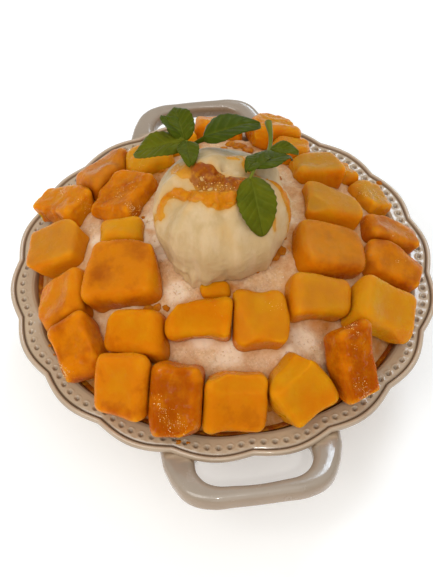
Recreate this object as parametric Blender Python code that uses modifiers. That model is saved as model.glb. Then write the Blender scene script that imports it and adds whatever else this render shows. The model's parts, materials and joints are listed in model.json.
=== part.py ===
"""Mango shaved ice in a scalloped stoneware dish: metres, +Z up, origin on the table under the dish."""
import math
import random

import bmesh
import bpy
from mathutils import Matrix, Vector, noise
from mathutils.bvhtree import BVHTree

# Driving dimensions of the dish
RIM_RADIUS = 0.100
RIM_HEIGHT = 0.048
SCALLOPS = 18
SCALLOP_DEPTH = 0.0024
SCALLOP_POWER = 1.13
SCALLOP_START = 0.865
SCALLOP_BLEND = 0.06
COLUMNS_PER_SCALLOP = 4
FLANGE_WIDTH = 0.0105
FLANGE_DROP = 0.0006
LIP_WIDTH = 0.0024
WALL = 0.0045
FOOT_RADIUS = 0.061
FOOT_WIDTH = 0.0035
FOOT_HEIGHT = 0.0030
FLOOR_HEIGHT = 0.0115
DIMPLES_PER_SCALLOP = 7
DIMPLE_RADIUS = 0.0011
DIMPLE_DEPTH = 0.0009
DIMPLE_INSET = 0.0058
WELD_DISTANCE = 0.00002

# Driving dimensions of the two handles
HANDLE_REACH = 0.1168
HANDLE_HALF_WIDTH = 0.0368
HANDLE_BAR = 0.0072
HANDLE_THICKNESS = 0.0094
HANDLE_EDGE = 0.0026
HANDLE_ROOT_RADIUS = 0.0885
HANDLE_TILT = math.radians(9)
HANDLE_PIVOT = 0.105
HANDLE_DROP = 0.0055

# Driving dimensions of the food
GAP = 0.0003
MOUND_RISE = 0.030
MOUND_RADIUS = 0.090
MOUND_SHORE = 0.086
MOUND_SHORE_WIDTH = 0.012
MOUND_COLUMNS = 36
LUMP_HEIGHT = 0.0016
LUMPS_PER_METRE = 60
POOL_LEVEL = RIM_HEIGHT - 0.0045
POOL_INSET = 0.0018
SCOOP_RADIUS = 0.0295
SCOOP_CENTRE = Vector((-0.0005, -0.0035, RIM_HEIGHT + 0.0420))
SCOOP_SQUASH = 0.93
SCOOP_COLUMNS = 28
GROOVES = 13
GROOVE_DEPTH = 0.0005
SKIRT_LOBES = 7
SKIRT_DEPTH = 0.0012
FOLD_DEPTH = 0.0026
FOLD_WIDTH = 0.0050
FOLD_SLANT = 0.25
BEVEL_SHARE = 0.17
FLANGE_REACH = 0.0035
KNIFE_TILT = 0.09
LEAF_STATIONS = 7
SEED = 7

# Mango pieces, degrees and millimetres: angle and radius of the middle, width, length down the slope,
# thickness, twist about the piece's own normal, lean outward, and depth sunk into the ice
MANGO_PIECES = (
    (-146, 81.5, 24, 17, 13, -22, 29, 2.5),
    (-126.5, 82.5, 20, 24, 15.5, 14, 33, 2.5),
    (-110.5, 82, 17, 27, 13.5, 8, 33, 2.5),
    (-93.5, 79, 22, 22, 16, -9, 38, 2.5),
    (-74.5, 81, 21, 20.5, 13.5, 22, 35, 2.5),
    (-57.5, 83.5, 15, 29, 14, -16, 38, 2.5),
    (-35.5, 78.5, 20, 28, 13, 21, 34, 3.5),
    (-16, 77, 15, 25, 12, -4, 26, 3.5),
    (-0.5, 78.5, 14.5, 25, 12, -3, 30, 3.5),
    (17, 79, 17, 16, 10, -5, 26, 3.5),
    (31, 77, 12, 8, 9, -29, 20, 3),
    (36, 60.5, 15, 23, 14, -24, 17, 6),
    (11, 52.5, 18, 25, 14.5, -18, 19, 6.5),
    (-20.5, 47, 21, 27, 14.5, 15, 20, 6.5),
    (-49.5, 53.5, 16, 24, 16, 46, 26, 6.5),
    (-79.5, 50, 20, 22.5, 17, -13, 14, 6),
    (-108, 48, 26, 14.5, 16, 14, 22, 6),
    (-103, 34, 11, 5.5, 6, 7, 15, 3.5),
    (-132, 63, 20.5, 17.5, 16, 32, 25, 6),
    (-157.5, 48, 24, 29.5, 16, -33, 19, 6),
    (-164, 76, 22, 22, 13, -18, 33, 2.5),
    (173.5, 75, 20, 26, 15, -5, 30, 2.5),
    (153.5, 81, 15, 28, 12, -10, 23, 2.5),
    (135, 72, 29, 16.5, 13, 12, 19, 4.5),
    (149, 50, 27, 22, 13, -2, 18, 6.5),
    (175, 45, 10, 17, 12, -5, 8, 6),
    (84.5, 81, 22, 17, 13, 2, 28, 3),
    (63.5, 80.5, 21, 28, 13, 22, 29, 2.5),
    (52, 66, 16, 16, 13, 24, 24, 5),
    (104, 70, 21, 20, 13, 6, 24, 5),
    (119, 60, 18, 18, 13, -12, 20, 6),
)

# Mango puree on the scoop: strands of (azimuth, elevation in degrees, radius in millimetres), each
# drawn along the surface with its middle PUREE_DEPTH of a radius below it
PUREE_DEPTH = 0.55
PUREE_STRANDS = (
    ((-169, 14, 2.0), (-173, 24, 2.6), (-173, 36, 3.4), (-166, 48, 3.4), (-150, 57, 2.9), (-130, 60, 2.6)),
    ((-132, 60, 2.6), (-112, 60, 3.6), (-96, 60, 3.9), (-80, 61, 2.8)),
    ((176, 72, 2.6), (-170, 79, 3.2), (-110, 81, 3.6), (-62, 74, 3.2), (-40, 68, 2.4)),
    ((-9, 50, 1.6), (-15, 37, 2.2), (-20, 21, 2.4), (-21, 8, 1.8)),
)

# Mint: every leaf runs from base to tip (millimetres), with its width, the arch of its midrib and its roll
LEAF_THICKNESS = 0.0008
LEAF_TOOTH = 0.05
LEAF_FOLD = 0.22
LEAF_RIPPLE = 0.0004
LEAF_TIP = 0.00035
LEFT_SPRIG_STEM = ((-13.0, 15.5, 114.6, 1.1), (-13.0, 17.5, 112.0, 1.3), (-12.6, 19.0, 108.5, 1.1))
LEFT_SPRIG_LEAVES = (
    ((-13.2, 16.5, 113.8), (-35.0, 20.5, 107.0), 12.5, 2.0, 22),
    ((-13.4, 17.5, 113.6), (-15.5, 37.0, 115.0), 14.0, 2.2, -8),
    ((-13.6, 18.0, 113.2), (-22.0, 31.5, 116.0), 8.5, 1.6, 16),
    ((-12.8, 16.6, 114.2), (-12.8, -1.0, 117.6), 8.5, 1.2, 0),
    ((-12.4, 16.4, 114.0), (18.5, 21.8, 119.0), 14.0, 2.6, -22),
)
RIGHT_SPRIG_STEM = (
    (9.8, -11.6, 117.2, 0.7),
    (13.6, -4.0, 116.9, 0.8),
    (18.6, 4.0, 114.0, 0.9),
    (21.8, 11.0, 110.8, 0.9),
    (23.8, 20.0, 109.6, 1.0),
    (24.2, 28.5, 109.0, 1.7),
)
RIGHT_SPRIG_LEAVES = (
    ((19.6, 5.6, 113.3), (9.4, -7.6, 118.0), 8.5, 1.0, 8),
    ((13.0, -5.5, 117.0), (30.0, 4.4, 110.6), 11.5, 2.2, -14),
    ((10.2, -10.6, 117.3), (12.6, -29.4, 102.4), 15.0, 3.6, 4),
    ((22.0, 10.0, 111.2), (33.5, 7.0, 110.6), 7.0, 1.4, 0),
)


def clear_objects():
    for item in list(bpy.data.objects):
        bpy.data.objects.remove(item, do_unlink=True)


def new_collection(name):
    collection = bpy.data.collections.new(name)
    bpy.context.scene.collection.children.link(collection)
    return collection


def principled(name, colour, roughness, subsurface=0.0):
    material = bpy.data.materials.new(name)
    material.use_nodes = True
    shader = material.node_tree.nodes["Principled BSDF"]
    shader.inputs["Base Color"].default_value = (*colour, 1.0)
    shader.inputs["Roughness"].default_value = roughness
    shader.inputs["Metallic"].default_value = 0.0
    shader.inputs["Subsurface Weight"].default_value = subsurface
    material.diffuse_color = (*colour, 1.0)
    return material


def mesh_object(name, mesh, collection, material=None):
    item = bpy.data.objects.new(name, mesh)
    collection.objects.link(item)
    if material:
        mesh.materials.clear()
        mesh.materials.append(material)
    return item


def evaluated_mesh(item):
    """The mesh of an object with its modifiers applied."""
    graph = bpy.context.evaluated_depsgraph_get()
    graph.update()
    return bpy.data.meshes.new_from_object(item.evaluated_get(graph))


def bake(item):
    """Apply the modifiers of a mesh object in place."""
    mesh = evaluated_mesh(item)
    item.modifiers.clear()
    item.data = mesh


def triangulate(mesh):
    """Split every face into flat triangles, so that later cuts leave flat faces."""
    shell = bmesh.new()
    shell.from_mesh(mesh)
    bmesh.ops.triangulate(shell, faces=shell.faces)
    shell.to_mesh(mesh)
    shell.free()


def smooth(item, angle=40):
    item.data.shade_smooth()
    item.data.set_sharp_from_angle(angle=math.radians(angle))


def hide_cutter(item):
    item.hide_render = True
    item.display_type = "WIRE"


def boolean(item, operation, operand=None, collection=None, solver="EXACT"):
    modifier = item.modifiers.new(operation.title(), "BOOLEAN")
    modifier.operation = operation
    modifier.solver = solver
    if collection:
        modifier.operand_type = "COLLECTION"
        modifier.collection = collection
    else:
        modifier.object = operand
    return modifier


def turned(name, profile, steps, collection, material):
    """A closed turned body from a profile that starts and ends on the axis."""
    mesh = bpy.data.meshes.new(name)
    mesh.from_pydata([(r, 0, z) for r, z in profile], [(i, i + 1) for i in range(len(profile) - 1)], [])
    item = mesh_object(name, mesh, collection, material)
    screw = item.modifiers.new("Turn", "SCREW")
    screw.axis = "Z"
    screw.steps = steps
    screw.render_steps = steps
    screw.use_merge_vertices = True
    screw.merge_threshold = 0.0001
    bake(item)
    item.data.materials.clear()
    item.data.materials.append(material)
    return item


def lobe(angle):
    """1 on the crest of a scallop, 0 in the notch between two; a notch lies over each handle."""
    return abs(math.cos(SCALLOPS / 2 * angle)) ** SCALLOP_POWER


def inner_profile(offset=0.0):
    """Inside of the bowl from the middle of its floor to the flange, shifted into the bowl by offset."""
    flange = RIM_RADIUS - FLANGE_WIDTH
    points = (
        (0.0, FLOOR_HEIGHT),
        (0.50 * RIM_RADIUS, FLOOR_HEIGHT + 0.0010),
        (0.70 * RIM_RADIUS, FLOOR_HEIGHT + 0.0090),
        (0.82 * RIM_RADIUS, RIM_HEIGHT - 0.0130),
        (flange - 0.0016, RIM_HEIGHT - 0.0022),
    )
    return [(max(0.0, r - offset), z + offset * 1.3) for r, z in points]


def dish_profile():
    """Inside, flange, rolled lip, outside, foot and the recess under the floor."""
    flange = RIM_RADIUS - FLANGE_WIDTH
    ridge = RIM_RADIUS - LIP_WIDTH
    rim = (
        (flange, RIM_HEIGHT - FLANGE_DROP),
        (ridge - 0.0008, RIM_HEIGHT - FLANGE_DROP),
        (ridge, RIM_HEIGHT),
        (RIM_RADIUS - 0.0007, RIM_HEIGHT - FLANGE_DROP),
        (RIM_RADIUS, RIM_HEIGHT - 0.0020),
        (RIM_RADIUS - 0.0012, RIM_HEIGHT - 0.0038),
        (flange + 0.0015, RIM_HEIGHT - 0.0058),
    )
    outside = (
        (0.82 * RIM_RADIUS + WALL, RIM_HEIGHT - 0.0150),
        (0.70 * RIM_RADIUS + WALL, FLOOR_HEIGHT + 0.0030),
        (FOOT_RADIUS + 0.0020, FOOT_HEIGHT + 0.0022),
        (FOOT_RADIUS, 0.0),
        (FOOT_RADIUS - FOOT_WIDTH, 0.0),
        (FOOT_RADIUS - FOOT_WIDTH - 0.0015, FOOT_HEIGHT),
        (0.0, FOOT_HEIGHT),
    )
    return inner_profile() + list(rim) + list(outside)


def scallop(mesh):
    """Draw the rim in between the scallops, fading towards the foot."""
    for vertex in mesh.vertices:
        radius = math.hypot(vertex.co.x, vertex.co.y)
        angle = math.atan2(vertex.co.y, vertex.co.x)
        fade = min(1.0, max(0.0, (radius / RIM_RADIUS - SCALLOP_START) / SCALLOP_BLEND))
        shrink = 1 - SCALLOP_DEPTH / RIM_RADIUS * fade * (1 - lobe(angle))
        vertex.co.x *= shrink
        vertex.co.y *= shrink


def spline(curve, points):
    """A smooth closed outline through the given plan points."""
    outline = curve.splines.new("BEZIER")
    outline.bezier_points.add(len(points) - 1)
    for point, (x, y) in zip(outline.bezier_points, points):
        point.co = (x, y, 0)
        point.handle_left_type = "AUTO"
        point.handle_right_type = "AUTO"
    outline.use_cyclic_u = True


def handle_outlines():
    """Outer and inner plan outlines of one handle, its bar parallel to X and its root in the dish wall."""
    reach = HANDLE_REACH
    half = HANDLE_HALF_WIDTH
    inner = reach - HANDLE_BAR
    root = HANDLE_ROOT_RADIUS
    right = [
        (0.30 * half, root * 0.985),
        (0.62 * half, root * 0.955),
        (0.96 * half, root * 0.915),
        (1.02 * half, 0.940 * RIM_RADIUS),
        (0.98 * half, 1.000 * RIM_RADIUS),
        (0.93 * half, reach - 0.0120),
        (0.79 * half, reach - 0.0045),
        (0.56 * half, reach - 0.0006),
        (0.26 * half, reach),
    ]
    hole = [
        (0.30 * half, 0.9350 * RIM_RADIUS),
        (0.62 * half, 0.9280 * RIM_RADIUS),
        (0.655 * half, 1.000 * RIM_RADIUS),
        (0.60 * half, inner - 0.0075),
        (0.46 * half, inner - 0.0018),
        (0.22 * half, inner),
    ]
    return [points + [(-x, y) for x, y in reversed(points)] for points in (right, hole)]


def make_handle(name, turn, collection):
    """One handle as a flat bevelled outline with a finger hole, tilted up and outward."""
    curve = bpy.data.curves.new(name, "CURVE")
    curve.dimensions = "2D"
    curve.fill_mode = "BOTH"
    curve.resolution_u = 2
    curve.bevel_depth = HANDLE_EDGE
    curve.bevel_resolution = 0
    curve.offset = -HANDLE_EDGE
    curve.extrude = HANDLE_THICKNESS / 2 - HANDLE_EDGE
    for points in handle_outlines():
        spline(curve, points)
    item = bpy.data.objects.new(name, curve)
    collection.objects.link(item)
    pivot = Vector((0, HANDLE_PIVOT, 0))
    tilt = Matrix.Translation(pivot) @ Matrix.Rotation(HANDLE_TILT, 4, "X") @ Matrix.Translation(-pivot)
    item.matrix_world = (
        Matrix.Translation((0, 0, RIM_HEIGHT - HANDLE_DROP)) @ Matrix.Rotation(turn, 4, "Z") @ tilt
    )
    bpy.context.view_layer.update()
    mesh = evaluated_mesh(item)
    solid = mesh_object(name, mesh, collection)
    solid.matrix_world = item.matrix_world.copy()
    bpy.data.objects.remove(item, do_unlink=True)
    shell = bmesh.new()
    shell.from_mesh(mesh)
    bmesh.ops.remove_doubles(shell, verts=shell.verts, dist=WELD_DISTANCE)
    bmesh.ops.recalc_face_normals(shell, faces=shell.faces)
    shell.to_mesh(mesh)
    shell.free()
    return solid


def make_dimple_cutter(collection):
    """A ring of small pits, seven to a scallop with one on every notch, that follows the scalloped rim."""
    pits = bmesh.new()
    count = SCALLOPS * DIMPLES_PER_SCALLOP
    for index in range(count):
        angle = math.pi / 2 + 2 * math.pi * index / count
        shrink = 1 - SCALLOP_DEPTH / RIM_RADIUS * (1 - lobe(angle))
        radius = (RIM_RADIUS - DIMPLE_INSET) * shrink
        spot = (radius * math.cos(angle), radius * math.sin(angle), RIM_HEIGHT - FLANGE_DROP)
        bmesh.ops.create_cone(
            pits,
            cap_ends=True,
            segments=4,
            radius1=0.0,
            radius2=DIMPLE_RADIUS * 1.45,
            depth=2 * DIMPLE_DEPTH,
            matrix=Matrix.Translation(spot) @ Matrix.Rotation(angle, 4, "Z"),
        )
    mesh = bpy.data.meshes.new("dimple_cutter")
    pits.to_mesh(mesh)
    pits.free()
    cutter = mesh_object("dimple_cutter", mesh, collection)
    hide_cutter(cutter)
    return cutter


def make_dish(parts, cutters, material):
    dish = turned("dish", dish_profile(), SCALLOPS * COLUMNS_PER_SCALLOP, parts, material)
    scallop(dish.data)
    triangulate(dish.data)
    joined = new_collection("handle_joins")
    for name, turn in (("handle_back", 0.0), ("handle_front", math.pi)):
        make_handle(name, turn, joined)
    boolean(dish, "UNION", collection=joined)
    bake(dish)
    for item in list(joined.objects):
        bpy.data.objects.remove(item, do_unlink=True)
    bpy.data.collections.remove(joined)
    boolean(dish, "DIFFERENCE", operand=make_dimple_cutter(cutters))
    bake(dish)
    smooth(dish)
    return dish


def mound_height(x, y):
    """Top of the shaved ice above the table, without the hollows that the fruit presses into it."""
    radius = math.hypot(x, y)
    dome = RIM_HEIGHT + MOUND_RISE * (1 - (radius / MOUND_RADIUS) ** 2)
    lumps = LUMP_HEIGHT * noise.noise(Vector((x, y, 0.3)) * LUMPS_PER_METRE)
    edge = min(1.0, max(0.0, (MOUND_SHORE - radius) / MOUND_SHORE_WIDTH))
    return POOL_LEVEL + (dome + lumps - POOL_LEVEL) * edge**0.7


def largest_body(item):
    """Keep the largest connected body of a mesh and drop loose scraps."""
    shell = bmesh.new()
    shell.from_mesh(item.data)
    left = set(shell.verts)
    bodies = []
    while left:
        body = {left.pop()}
        front = list(body)
        while front:
            for edge in front.pop().link_edges:
                for vertex in edge.verts:
                    if vertex in left:
                        left.remove(vertex)
                        body.add(vertex)
                        front.append(vertex)
        bodies.append(body)
    bodies.sort(key=len)
    scraps = [vertex for body in bodies[:-1] for vertex in body]
    bmesh.ops.delete(shell, geom=scraps, context="VERTS")
    shell.to_mesh(item.data)
    shell.free()


def make_mound(parts, presses, material):
    """Shaved ice: a lumpy dome whose foot stands in melted syrup and whose underside fills the bowl."""
    rings = (0.0, 0.013, 0.026, 0.038, 0.050, 0.061, 0.071, 0.079, 0.0853)
    top_mark = 0.070
    top = [(radius, top_mark + 0.01 - 0.05 * radius) for radius in rings]
    under = list(reversed(inner_profile(GAP)))
    under[0] = (under[0][0] - POOL_INSET, POOL_LEVEL)
    mound = turned("shaved_ice", top + under, MOUND_COLUMNS, parts, material)
    for vertex in mound.data.vertices:
        if vertex.co.z > top_mark:
            vertex.co.z = mound_height(vertex.co.x, vertex.co.y)
    triangulate(mound.data)
    boolean(mound, "DIFFERENCE", collection=presses)
    bake(mound)
    largest_body(mound)
    smooth(mound, 50)
    return mound


def knife_cuts(rng):
    """Outward directions of the six slightly uneven knife cuts that part a cube from the fruit."""
    cuts = []
    for axis in range(3):
        for sign in (-1, 1):
            direction = Vector([rng.uniform(-KNIFE_TILT, KNIFE_TILT) for _ in range(3)])
            direction[axis] = sign
            cuts.append((axis, direction.normalized()))
    return cuts


def cut_cube(name, size, cuts, grow=0.0):
    """A convex block with flat sides: a big cube trimmed by the six knife cuts, moved out by grow."""
    block = bmesh.new()
    bmesh.ops.create_cube(block, size=3 * max(size))
    for axis, direction in cuts:
        bmesh.ops.bisect_plane(
            block,
            geom=block.verts[:] + block.edges[:] + block.faces[:],
            plane_co=direction * (size[axis] / 2 + grow),
            plane_no=direction,
            clear_outer=True,
        )
        rim = [edge for edge in block.edges if edge.is_boundary]
        bmesh.ops.contextual_create(block, geom=rim)
    bmesh.ops.recalc_face_normals(block, faces=block.faces)
    mesh = bpy.data.meshes.new(name)
    block.to_mesh(mesh)
    block.free()
    return mesh


def piece_matrix(angle, radius, twist, lean, height):
    """Place a piece on the mound: facing outward, leaned down the slope, twisted on its own axis."""
    spot = Vector((radius * math.cos(angle), radius * math.sin(angle), height))
    face_out = Matrix.Rotation(angle + math.pi / 2, 4, "Z")
    leaned = Matrix.Translation(spot) @ face_out @ Matrix.Rotation(lean, 4, "X")
    return leaned @ Matrix.Rotation(twist, 4, "Z")


def rest_height(points, angle, radius, twist, lean, sunk):
    """The height at which a piece has settled into the ice, or lies on the flange of the dish."""
    flat = piece_matrix(angle, radius, twist, lean, 0.0)
    lift = 0.0
    for point in points:
        corner = flat @ (point * 0.9)
        reach = math.hypot(corner.x, corner.y)
        if reach > RIM_RADIUS - FLANGE_WIDTH - FLANGE_REACH:
            support = RIM_HEIGHT + 3 * GAP
        else:
            support = mound_height(corner.x, corner.y) - sunk
        lift = max(lift, support - corner.z)
    return lift


def touching(first, second):
    """Whether the surfaces of two objects cross."""
    trees = []
    for item in (first, second):
        points = [item.matrix_world @ vertex.co for vertex in item.data.vertices]
        faces = [tuple(face.vertices) for face in item.data.polygons]
        trees.append(BVHTree.FromPolygons(points, faces))
    return bool(trees[0].overlap(trees[1]))


def make_mango_piece(index, row, rng, parts, presses, material):
    """One mango cube settled on the mound, and the slightly larger form that presses a hollow for it."""
    angle, radius, width, length, thickness, twist, lean, sunk = row
    angle, twist, lean = (math.radians(value) for value in (angle, twist, lean))
    radius = radius * 0.001
    size = [value * 0.001 for value in (width, length, thickness)]
    cuts = knife_cuts(rng)
    block = cut_cube("mango", size, cuts)
    corners = [vertex.co.copy() for vertex in block.vertices]
    height = rest_height(corners, angle, radius, twist, lean, sunk * 0.001)
    matrix = piece_matrix(angle, radius, twist, lean, height)
    piece = mesh_object(f"mango_{index:02d}", block, parts, material)
    piece.matrix_world = matrix
    bevel = piece.modifiers.new("Round", "BEVEL")
    bevel.width = min(size) * BEVEL_SHARE
    bevel.segments = 2
    bevel.limit_method = "NONE"
    bake(piece)
    press = mesh_object(f"press_{index:02d}", cut_cube("press", size, cuts, GAP), presses)
    press.matrix_world = matrix
    hide_cutter(press)
    return piece, press


def make_mango(parts, presses, material):
    """All mango cubes; where two would meet, the later one is cut flat against the earlier one."""
    rng = random.Random(SEED)
    placed = []
    for index, row in enumerate(MANGO_PIECES, start=1):
        piece, press = make_mango_piece(index, row, rng, parts, presses, material)
        bpy.context.view_layer.update()
        for earlier in placed:
            if touching(piece, earlier):
                boolean(piece, "DIFFERENCE", operand=earlier)
        bake(piece)
        largest_body(piece)
        smooth(piece, 60)
        placed.append(press)


def on_scoop(azimuth, elevation, depth=0.0):
    """A point on the squashed ball of the scoop, or depth below its surface."""
    azimuth, elevation = math.radians(azimuth), math.radians(elevation)
    reach = SCOOP_RADIUS - depth
    return SCOOP_CENTRE + Vector(
        (
            reach * math.cos(elevation) * math.cos(azimuth),
            reach * math.cos(elevation) * math.sin(azimuth),
            reach * math.sin(elevation) * SCOOP_SQUASH,
        )
    )


def make_tube(name, points, collection):
    """A closed tube through points of (position, radius)."""
    curve = bpy.data.curves.new(name, "CURVE")
    curve.dimensions = "3D"
    curve.bevel_depth = 1.0
    curve.bevel_resolution = 1
    curve.use_fill_caps = True
    path = curve.splines.new("POLY")
    path.points.add(len(points) - 1)
    for point, (position, radius) in zip(path.points, points):
        point.co = (*position, 1)
        point.radius = radius
    item = bpy.data.objects.new(name, curve)
    collection.objects.link(item)
    bpy.context.view_layer.update()
    mesh = evaluated_mesh(item)
    bpy.data.objects.remove(item, do_unlink=True)
    shell = bmesh.new()
    shell.from_mesh(mesh)
    bmesh.ops.remove_doubles(shell, verts=shell.verts, dist=WELD_DISTANCE)
    bmesh.ops.recalc_face_normals(shell, faces=shell.faces)
    shell.to_mesh(mesh)
    shell.free()
    return mesh_object(name, mesh, collection)


def join_into(item, joined, solver="EXACT"):
    """Fuse every object of a collection with the item, then remove the collection."""
    boolean(item, "UNION", collection=joined, solver=solver)
    bake(item)
    for other in list(joined.objects):
        bpy.data.objects.remove(other, do_unlink=True)
    bpy.data.collections.remove(joined)
    largest_body(item)


def scoop_form(point):
    """Drag grooves down the front of the scoop, the fold across its top and a ragged skirt at its foot."""
    azimuth = math.atan2(point.y, point.x)
    front = max(0.0, -math.sin(azimuth))
    reach = math.hypot(point.x, point.y)
    low = max(0.0, -point.z / SCOOP_RADIUS)
    away = min(1.0, 2.5 * reach / SCOOP_RADIUS)
    change = GROOVE_DEPTH * front * math.cos(GROOVES * azimuth) * away
    change += SKIRT_DEPTH * low * math.cos(SKIRT_LOBES * azimuth + 1.0)
    fold = (point.y + 0.002 - FOLD_SLANT * point.x) / FOLD_WIDTH
    if point.z > 0:
        change -= FOLD_DEPTH * math.exp(-(fold**2)) * min(1.0, 2 * point.z / SCOOP_RADIUS)
    return point * (1 + change / SCOOP_RADIUS)


def make_scoop(parts, presses, material):
    """The scoop of ice cream with its thick puree, and the form that presses a hollow for it."""
    bpy.ops.mesh.primitive_uv_sphere_add(
        segments=SCOOP_COLUMNS, ring_count=SCOOP_COLUMNS // 2, radius=SCOOP_RADIUS
    )
    scoop = bpy.context.active_object
    scoop.name = "ice_cream"
    scoop.users_collection[0].objects.unlink(scoop)
    parts.objects.link(scoop)
    scoop.data.materials.append(material)
    for vertex in scoop.data.vertices:
        vertex.co = scoop_form(vertex.co)
        vertex.co.z *= SCOOP_SQUASH
    triangulate(scoop.data)
    scoop.location = SCOOP_CENTRE
    press = mesh_object("press_scoop", scoop.data.copy(), presses)
    press.data.transform(Matrix.Translation(SCOOP_CENTRE) @ Matrix.Scale(1 + 1.5 * GAP / SCOOP_RADIUS, 4))
    hide_cutter(press)
    joined = new_collection("puree")
    for number, strand in enumerate(PUREE_STRANDS):
        points = [
            (on_scoop(azimuth, elevation, radius * 0.001 * PUREE_DEPTH), radius * 0.001)
            for azimuth, elevation, radius in strand
        ]
        make_tube(f"puree_{number}", points, joined)
    bpy.context.view_layer.update()
    join_into(scoop, joined)
    smooth(scoop, 50)
    return scoop


def make_leaf(name, base, tip, width, arch, roll, collection):
    """A thin mint leaf: an arched, folded sheet with a toothed edge, given thickness."""
    base, tip = Vector(base) * 0.001, Vector(tip) * 0.001
    along = tip - base
    side = along.cross(Vector((0, 0, 1))).normalized()
    side = Matrix.Rotation(math.radians(roll), 3, along) @ side
    normal = side.cross(along).normalized()
    leaf = bmesh.new()
    bmesh.ops.create_grid(leaf, x_segments=LEAF_STATIONS, y_segments=4, size=0.5)
    for vertex in leaf.verts:
        run = vertex.co.x + 0.5
        across = vertex.co.y * 2
        tooth = 1.0 + LEAF_TOOTH * math.cos(math.pi * round(run * LEAF_STATIONS))
        outline = math.sin(math.pi * min(1.0, run**0.85)) ** 0.72
        half = 0.0005 * width * tooth * outline + LEAF_TIP
        lift = 4 * arch * 0.001 * run * (1 - run)
        fold = LEAF_FOLD * abs(across) * half + LEAF_RIPPLE * math.sin(9 * run + 2 * across)
        vertex.co = base + along * run + side * across * half + normal * (lift + fold)
    bmesh.ops.triangulate(leaf, faces=leaf.faces)
    mesh = bpy.data.meshes.new(name)
    leaf.to_mesh(mesh)
    leaf.free()
    item = mesh_object(name, mesh, collection)
    sheet = item.modifiers.new("Thickness", "SOLIDIFY")
    sheet.thickness = LEAF_THICKNESS
    sheet.offset = 0.0
    bake(item)
    return item


def make_sprig(name, stem, leaves, parts, material):
    """A mint sprig in one piece: a tapered stem with its leaves."""
    points = [(Vector(row[:3]) * 0.001, row[3] * 0.001) for row in stem]
    sprig = make_tube(name, points, parts)
    sprig.data.materials.append(material)
    joined = new_collection("leaves")
    for number, (base, tip, width, arch, roll) in enumerate(leaves):
        make_leaf(f"leaf_{number}", base, tip, width, arch, roll, joined)
    bpy.context.view_layer.update()
    join_into(sprig, joined, "MANIFOLD")
    smooth(sprig, 40)
    return sprig


def main():
    clear_objects()
    parts = new_collection("mango_shaved_ice")
    cutters = new_collection("cutters")
    presses = new_collection("presses")
    glaze = principled("stoneware_glaze", (0.42, 0.36, 0.29), 0.25)
    ice = principled("shaved_ice", (0.72, 0.60, 0.46), 0.6, 0.3)
    cream = principled("ice_cream", (0.78, 0.62, 0.42), 0.45, 0.2)
    mango = principled("mango_flesh", (0.72, 0.26, 0.02), 0.25, 0.3)
    mint = principled("mint_leaf", (0.09, 0.14, 0.02), 0.4, 0.1)
    make_dish(parts, cutters, glaze)
    make_mango(parts, presses, mango)
    make_scoop(parts, presses, cream)
    make_mound(parts, presses, ice)
    make_sprig("mint_left", LEFT_SPRIG_STEM, LEFT_SPRIG_LEAVES, parts, mint)
    make_sprig("mint_right", RIGHT_SPRIG_STEM, RIGHT_SPRIG_LEAVES, parts, mint)


main()
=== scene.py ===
"""Looks of the mango shaved ice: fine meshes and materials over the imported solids, in metres."""

import json
import math

import bmesh
import bpy
import numpy as np
from mathutils import Matrix, Vector, noise
from mathutils.bvhtree import BVHTree
from mathutils.kdtree import KDTree

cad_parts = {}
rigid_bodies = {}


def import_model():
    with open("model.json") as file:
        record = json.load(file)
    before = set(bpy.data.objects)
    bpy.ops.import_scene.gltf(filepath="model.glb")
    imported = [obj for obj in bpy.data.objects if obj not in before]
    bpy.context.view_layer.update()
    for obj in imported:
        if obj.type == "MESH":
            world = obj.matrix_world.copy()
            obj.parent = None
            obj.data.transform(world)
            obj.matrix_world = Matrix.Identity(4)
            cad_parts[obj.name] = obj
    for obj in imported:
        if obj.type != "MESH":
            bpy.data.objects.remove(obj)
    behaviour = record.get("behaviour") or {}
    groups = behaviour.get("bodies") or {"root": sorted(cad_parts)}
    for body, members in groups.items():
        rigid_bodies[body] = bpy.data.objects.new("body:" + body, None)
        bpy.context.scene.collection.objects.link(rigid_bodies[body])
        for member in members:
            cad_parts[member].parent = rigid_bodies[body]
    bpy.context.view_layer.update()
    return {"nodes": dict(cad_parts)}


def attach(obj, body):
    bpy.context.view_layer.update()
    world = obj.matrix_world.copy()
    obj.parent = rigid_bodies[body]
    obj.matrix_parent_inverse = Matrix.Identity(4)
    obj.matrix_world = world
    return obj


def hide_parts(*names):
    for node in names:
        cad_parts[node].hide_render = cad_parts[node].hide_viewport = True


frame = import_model()

# Dish, as in the part's source
RIM_RADIUS = 0.100
RIM_HEIGHT = 0.048
SCALLOPS = 18
SCALLOP_DEPTH = 0.0024
SCALLOP_POWER = 1.13
SCALLOP_START = 0.865
SCALLOP_BLEND = 0.06
FLANGE_WIDTH = 0.0105
FLANGE_DROP = 0.0006
LIP_WIDTH = 0.0024
WALL = 0.0045
FOOT_RADIUS = 0.061
FOOT_WIDTH = 0.0035
FOOT_HEIGHT = 0.0030
FLOOR_HEIGHT = 0.0115
DIMPLES = 7 * SCALLOPS
DIMPLE_RADIUS = 0.0011
DIMPLE_DEPTH = 0.0009
DIMPLE_INSET = 0.0058
COLUMNS_PER_DIMPLE = 9

# Handles, as in the part's source
HANDLE_REACH = 0.1168
HANDLE_HALF_WIDTH = 0.0368
HANDLE_BAR = 0.0072
HANDLE_THICKNESS = 0.0094
HANDLE_EDGE = 0.0033
HANDLE_ROOT_RADIUS = 0.0885
HANDLE_TILT = math.radians(9)
HANDLE_PIVOT = 0.105
HANDLE_DROP = 0.0055

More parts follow.
